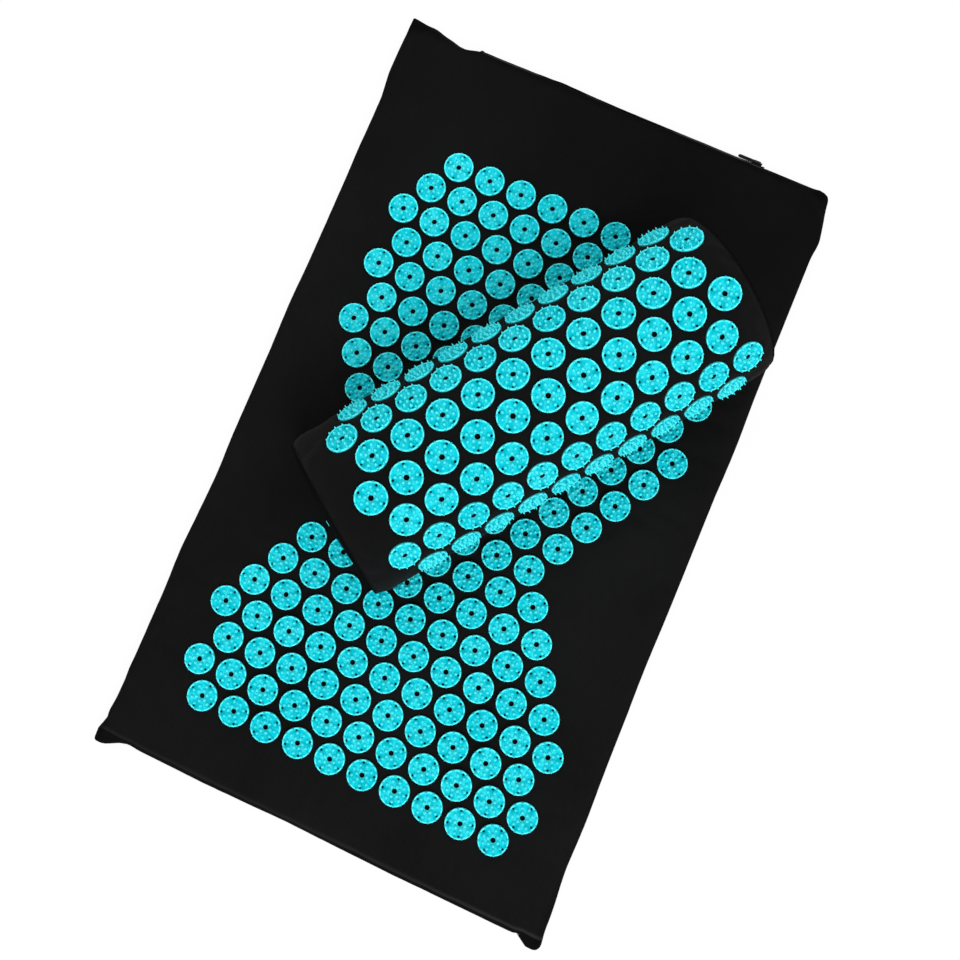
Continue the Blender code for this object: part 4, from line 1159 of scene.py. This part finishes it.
def pillow_filling():
    """The foam core: the pillow's form drawn in on every side, with flat ends and a flat base."""
    inset = PILLOW_FOAM_INSET
    form = PillowForm(PILLOW_LENGTH / 2 - inset - FOAM_GAP, inset=inset, floor=BASE_SHELL + FOAM_GAP)
    along = ruler(2 * form.half_length, PILLOW_FOAM_STEPS, PILLOW_FOAM_SPACING)
    arcs = np.linspace(-form.total, form.total, 90)
    rings = form.points(*np.meshgrid(along, arcs, indexing="ij"))
    under = np.linspace(1, -1, 12)[1:-1, None]
    base = rings[:, -1:] * (1 + under) / 2 + rings[:, :1] * (1 - under) / 2
    rings = np.concatenate((rings, base), 1)
    count = rings.shape[1]
    points = np.concatenate((rings.reshape(-1, 3), rings[[0, -1]].mean(1)))
    total = len(along) * count
    faces = grid_faces(len(along), count, around=True)[:, ::-1]
    near, far = fan(total, 0, count)[:, ::-1], fan(total + 1, total - count, count)
    # Painted shade on the foam behind the zip
    zip_shade = (np.abs(points[:, 0]) < PILLOW_ZIP_LENGTH / 2 + ZIP_SHADE_REACH) & (points[:, 1] > 0)
    zip_shade &= np.abs(points[:, 2] - PILLOW_ZIP_HEIGHT) < ZIP_SHADE_REACH
    core = piece("pillow_foam_filling", pillow_placed(points), (faces, near, far), pale_foam, "pillow",
                 marks={"zip_shade": zip_shade})
    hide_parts("pillow_foam_core")


# Zips


NYLON, METAL = (zip_nylon, "zip_nylon"), (zip_metal, "zip_metal")
# How far the edges of a zip's parts are eased
TAPE_EASE, STOP_EASE, SLIDER_EASE, TAB_EASE = 0.12 * MM, 0.15 * MM, 0.3 * MM, 0.25 * MM


def softened(node, name, finish, body, width, lean=0.0):
    """A copy of a CAD part with its edges eased; the part itself is hidden. A lean draws it in with the
    cover that it is sewn to, by the lean times its share of the way from the seam to the window's edge."""
    material, slot = finish
    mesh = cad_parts[node].data.copy()
    mesh.name = name
    bm = bmesh.new()
    bm.from_mesh(mesh)
    bmesh.ops.remove_doubles(bm, verts=bm.verts, dist=CAD_MERGE_REACH)
    bmesh.ops.dissolve_limit(bm, angle_limit=math.radians(2), verts=bm.verts, edges=bm.edges)
    bmesh.ops.recalc_face_normals(bm, faces=bm.faces)
    bm.to_mesh(mesh)
    bm.free()
    mesh.materials.clear()
    mesh.materials.append(material)
    obj = bpy.data.objects.new(name, mesh)
    bpy.context.scene.collection.objects.link(obj)
    if lean:
        points = points_of(mesh)
        points[:, 1] -= lean * np.clip((points[:, 2] - MAT_MIDDLE) / ZIP_WINDOW_REACH, 0, 1)
        mesh.vertices.foreach_set("co", points.astype(np.float32).ravel())
        mesh.update()
    ease = obj.modifiers.new("eased_edges", "BEVEL")
    ease.width = width
    ease.segments = 2
    ease.limit_method = "ANGLE"
    ease.angle_limit = math.radians(35)
    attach(obj, body)
    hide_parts(node)


def build_zips():
    """Both zips: two tapes, two stops, slider and pull tab each. The mat's lean in with its top panel."""
    for owner, lean in (("mat", FAR_LEAN), ("pillow", 0)):
        start = f"{owner}_zip"
        softened(f"{start}_tape_upper", f"{start}_upper_tape", NYLON, owner, TAPE_EASE, lean)
        softened(f"{start}_tape_lower", f"{start}_lower_tape", NYLON, owner, TAPE_EASE)
        for side in ("left", "right"):
            softened(f"{start}_stop_{side}", f"{start}_{side}_stop", METAL, owner, STOP_EASE, lean)
        softened(f"{start}_slider", f"{start}_slider_body", METAL, f"{start}_slider", SLIDER_EASE)
        softened(f"{start}_pull_tab", f"{start}_tab", METAL, f"{start}_pull", TAB_EASE)


def build_pillow():
    """The pillow: its cover, its foam and seven rows of discs, the middle one the CAD's own eleven."""
    pillow_top()
    for node, side in (("pillow_end_left", -1), ("pillow_end_right", 1)):
        pillow_end(f"{node}_cloth", node, side)
        pillow_piping(f"{node}_welt", side)
    pillow_base()
    pillow_filling()
    nodes = {3: tuple(f"pillow_spike_disc_{index:02d}" for index in range(1, 12))}
    for row, places in enumerate(PILLOW_ROWS_OF_DISCS):
        row_of_discs(f"pillow_discs_row_{row + 1}", places, "pillow", nodes.get(row, ()), lay=pillow_placed)


# Stage, lights and camera


def lamp(name, place, size, power):
    """A square area lamp that faces the mat's middle."""
    light = bpy.data.lights.new(name, "AREA")
    light.shape = "SQUARE"
    light.size = size
    light.energy = power
    obj = bpy.data.objects.new(name, light)
    obj.location = place
    obj.rotation_euler = obj.location.to_track_quat("Z", "Y").to_euler()
    bpy.context.scene.collection.objects.link(obj)


def white_to_the_eye(tree, lit, share):
    """Mixes a lit shader with white of strength 1 where the camera, a gloss or a clear ray sees it."""
    path = tree.nodes.new("ShaderNodeLightPath")
    seen = maths(tree, "MAXIMUM", path.outputs["Is Camera Ray"], path.outputs["Is Glossy Ray"])
    seen = maths(tree, "MAXIMUM", seen, path.outputs["Is Transmission Ray"])
    white = tree.nodes.new("ShaderNodeEmission" if share < 1 else "ShaderNodeBackground")
    mix = tree.nodes.new("ShaderNodeMixShader")
    tree.links.new(maths(tree, "MULTIPLY", seen, share), mix.inputs[0])
    tree.links.new(lit, mix.inputs[1])
    tree.links.new(white.outputs[0], mix.inputs[2])
    white.inputs["Color"].default_value = (1, 1, 1, 1)
    white.inputs["Strength"].default_value = 1.0
    return mix.outputs[0]


# The lamps: (name, place, size, power), all aimed at the mat's middle
LAMPS = (
    ("key_light", (2.55, -3.30, 3.90), 3.0, 196),
    ("far_light", (-1.6, 2.6, 2.8), 1.6, 22),
)
FLOOR_HALF_WIDTH, FLOOR_DROP = 6.0, 0.4 * MM
FLOOR_LIT, FLOOR_SEEN, FLOOR_WHITE_SHARE = (0.40, 0.40, 0.40), (0.9, 0.9, 0.9), 0.93
STUDIO_STRENGTH = 0.84
FOCAL_PIXELS, FRAME_PIXELS = 880, 960
CAMERA_PLACE = (67.89 * MM, -64.78 * MM, 839.61 * MM)
CAMERA_TURNS = (4.772, 2.079, 22.765)


def build_stage():
    """A white floor and a white surround that look white to the camera and light the set less than that."""
    floor_finish = bpy.data.materials.new("white_floor")
    floor_finish.use_nodes = True
    tree = floor_finish.node_tree
    shader = tree.nodes["Principled BSDF"]
    path = tree.nodes.new("ShaderNodeLightPath")
    colour = mixed_colour(tree, path.outputs["Is Camera Ray"], FLOOR_LIT, FLOOR_SEEN)
    tree.links.new(colour, shader.inputs["Base Color"])
    shader.inputs["Roughness"].default_value = 0.9
    shader.inputs["Specular IOR Level"].default_value = 0.0
    shown = white_to_the_eye(tree, shader.outputs[0], FLOOR_WHITE_SHARE)
    tree.links.new(shown, tree.nodes["Material Output"].inputs["Surface"])
    corners = np.array(((-1, -1, 0), (1, -1, 0), (1, 1, 0), (-1, 1, 0))) * FLOOR_HALF_WIDTH
    corners = corners - (0, 0, FLOOR_DROP)
    floor = piece("studio_floor", corners, np.array(((0, 1, 2, 3),)), floor_finish, smooth=False)
    world = bpy.data.worlds.new("studio")
    bpy.context.scene.world = world
    world.use_nodes = True
    tree = world.node_tree
    dim = tree.nodes["Background"]
    dim.inputs["Color"].default_value = (1, 1, 1, 1)
    dim.inputs["Strength"].default_value = STUDIO_STRENGTH
    shown = white_to_the_eye(tree, dim.outputs[0], 1)
    tree.links.new(shown, tree.nodes["World Output"].inputs["Surface"])
    for name, place, size, power in LAMPS:
        lamp(name, place, size, power)
    bpy.context.scene.view_settings.view_transform = "Standard"


def build_camera():
    """The photograph's own view."""
    camera = bpy.data.cameras.new("photo_view")
    camera.sensor_width = 36.0
    camera.lens = camera.sensor_width * FOCAL_PIXELS / FRAME_PIXELS
    camera.clip_start = 0.01
    obj = bpy.data.objects.new("photo_view", camera)
    obj.location = CAMERA_PLACE
    obj.rotation_euler = [math.radians(angle) for angle in CAMERA_TURNS]
    bpy.context.scene.collection.objects.link(obj)
    bpy.context.scene.camera = obj


build_camera()
build_stage()
build_mat()
build_pillow()
build_zips()
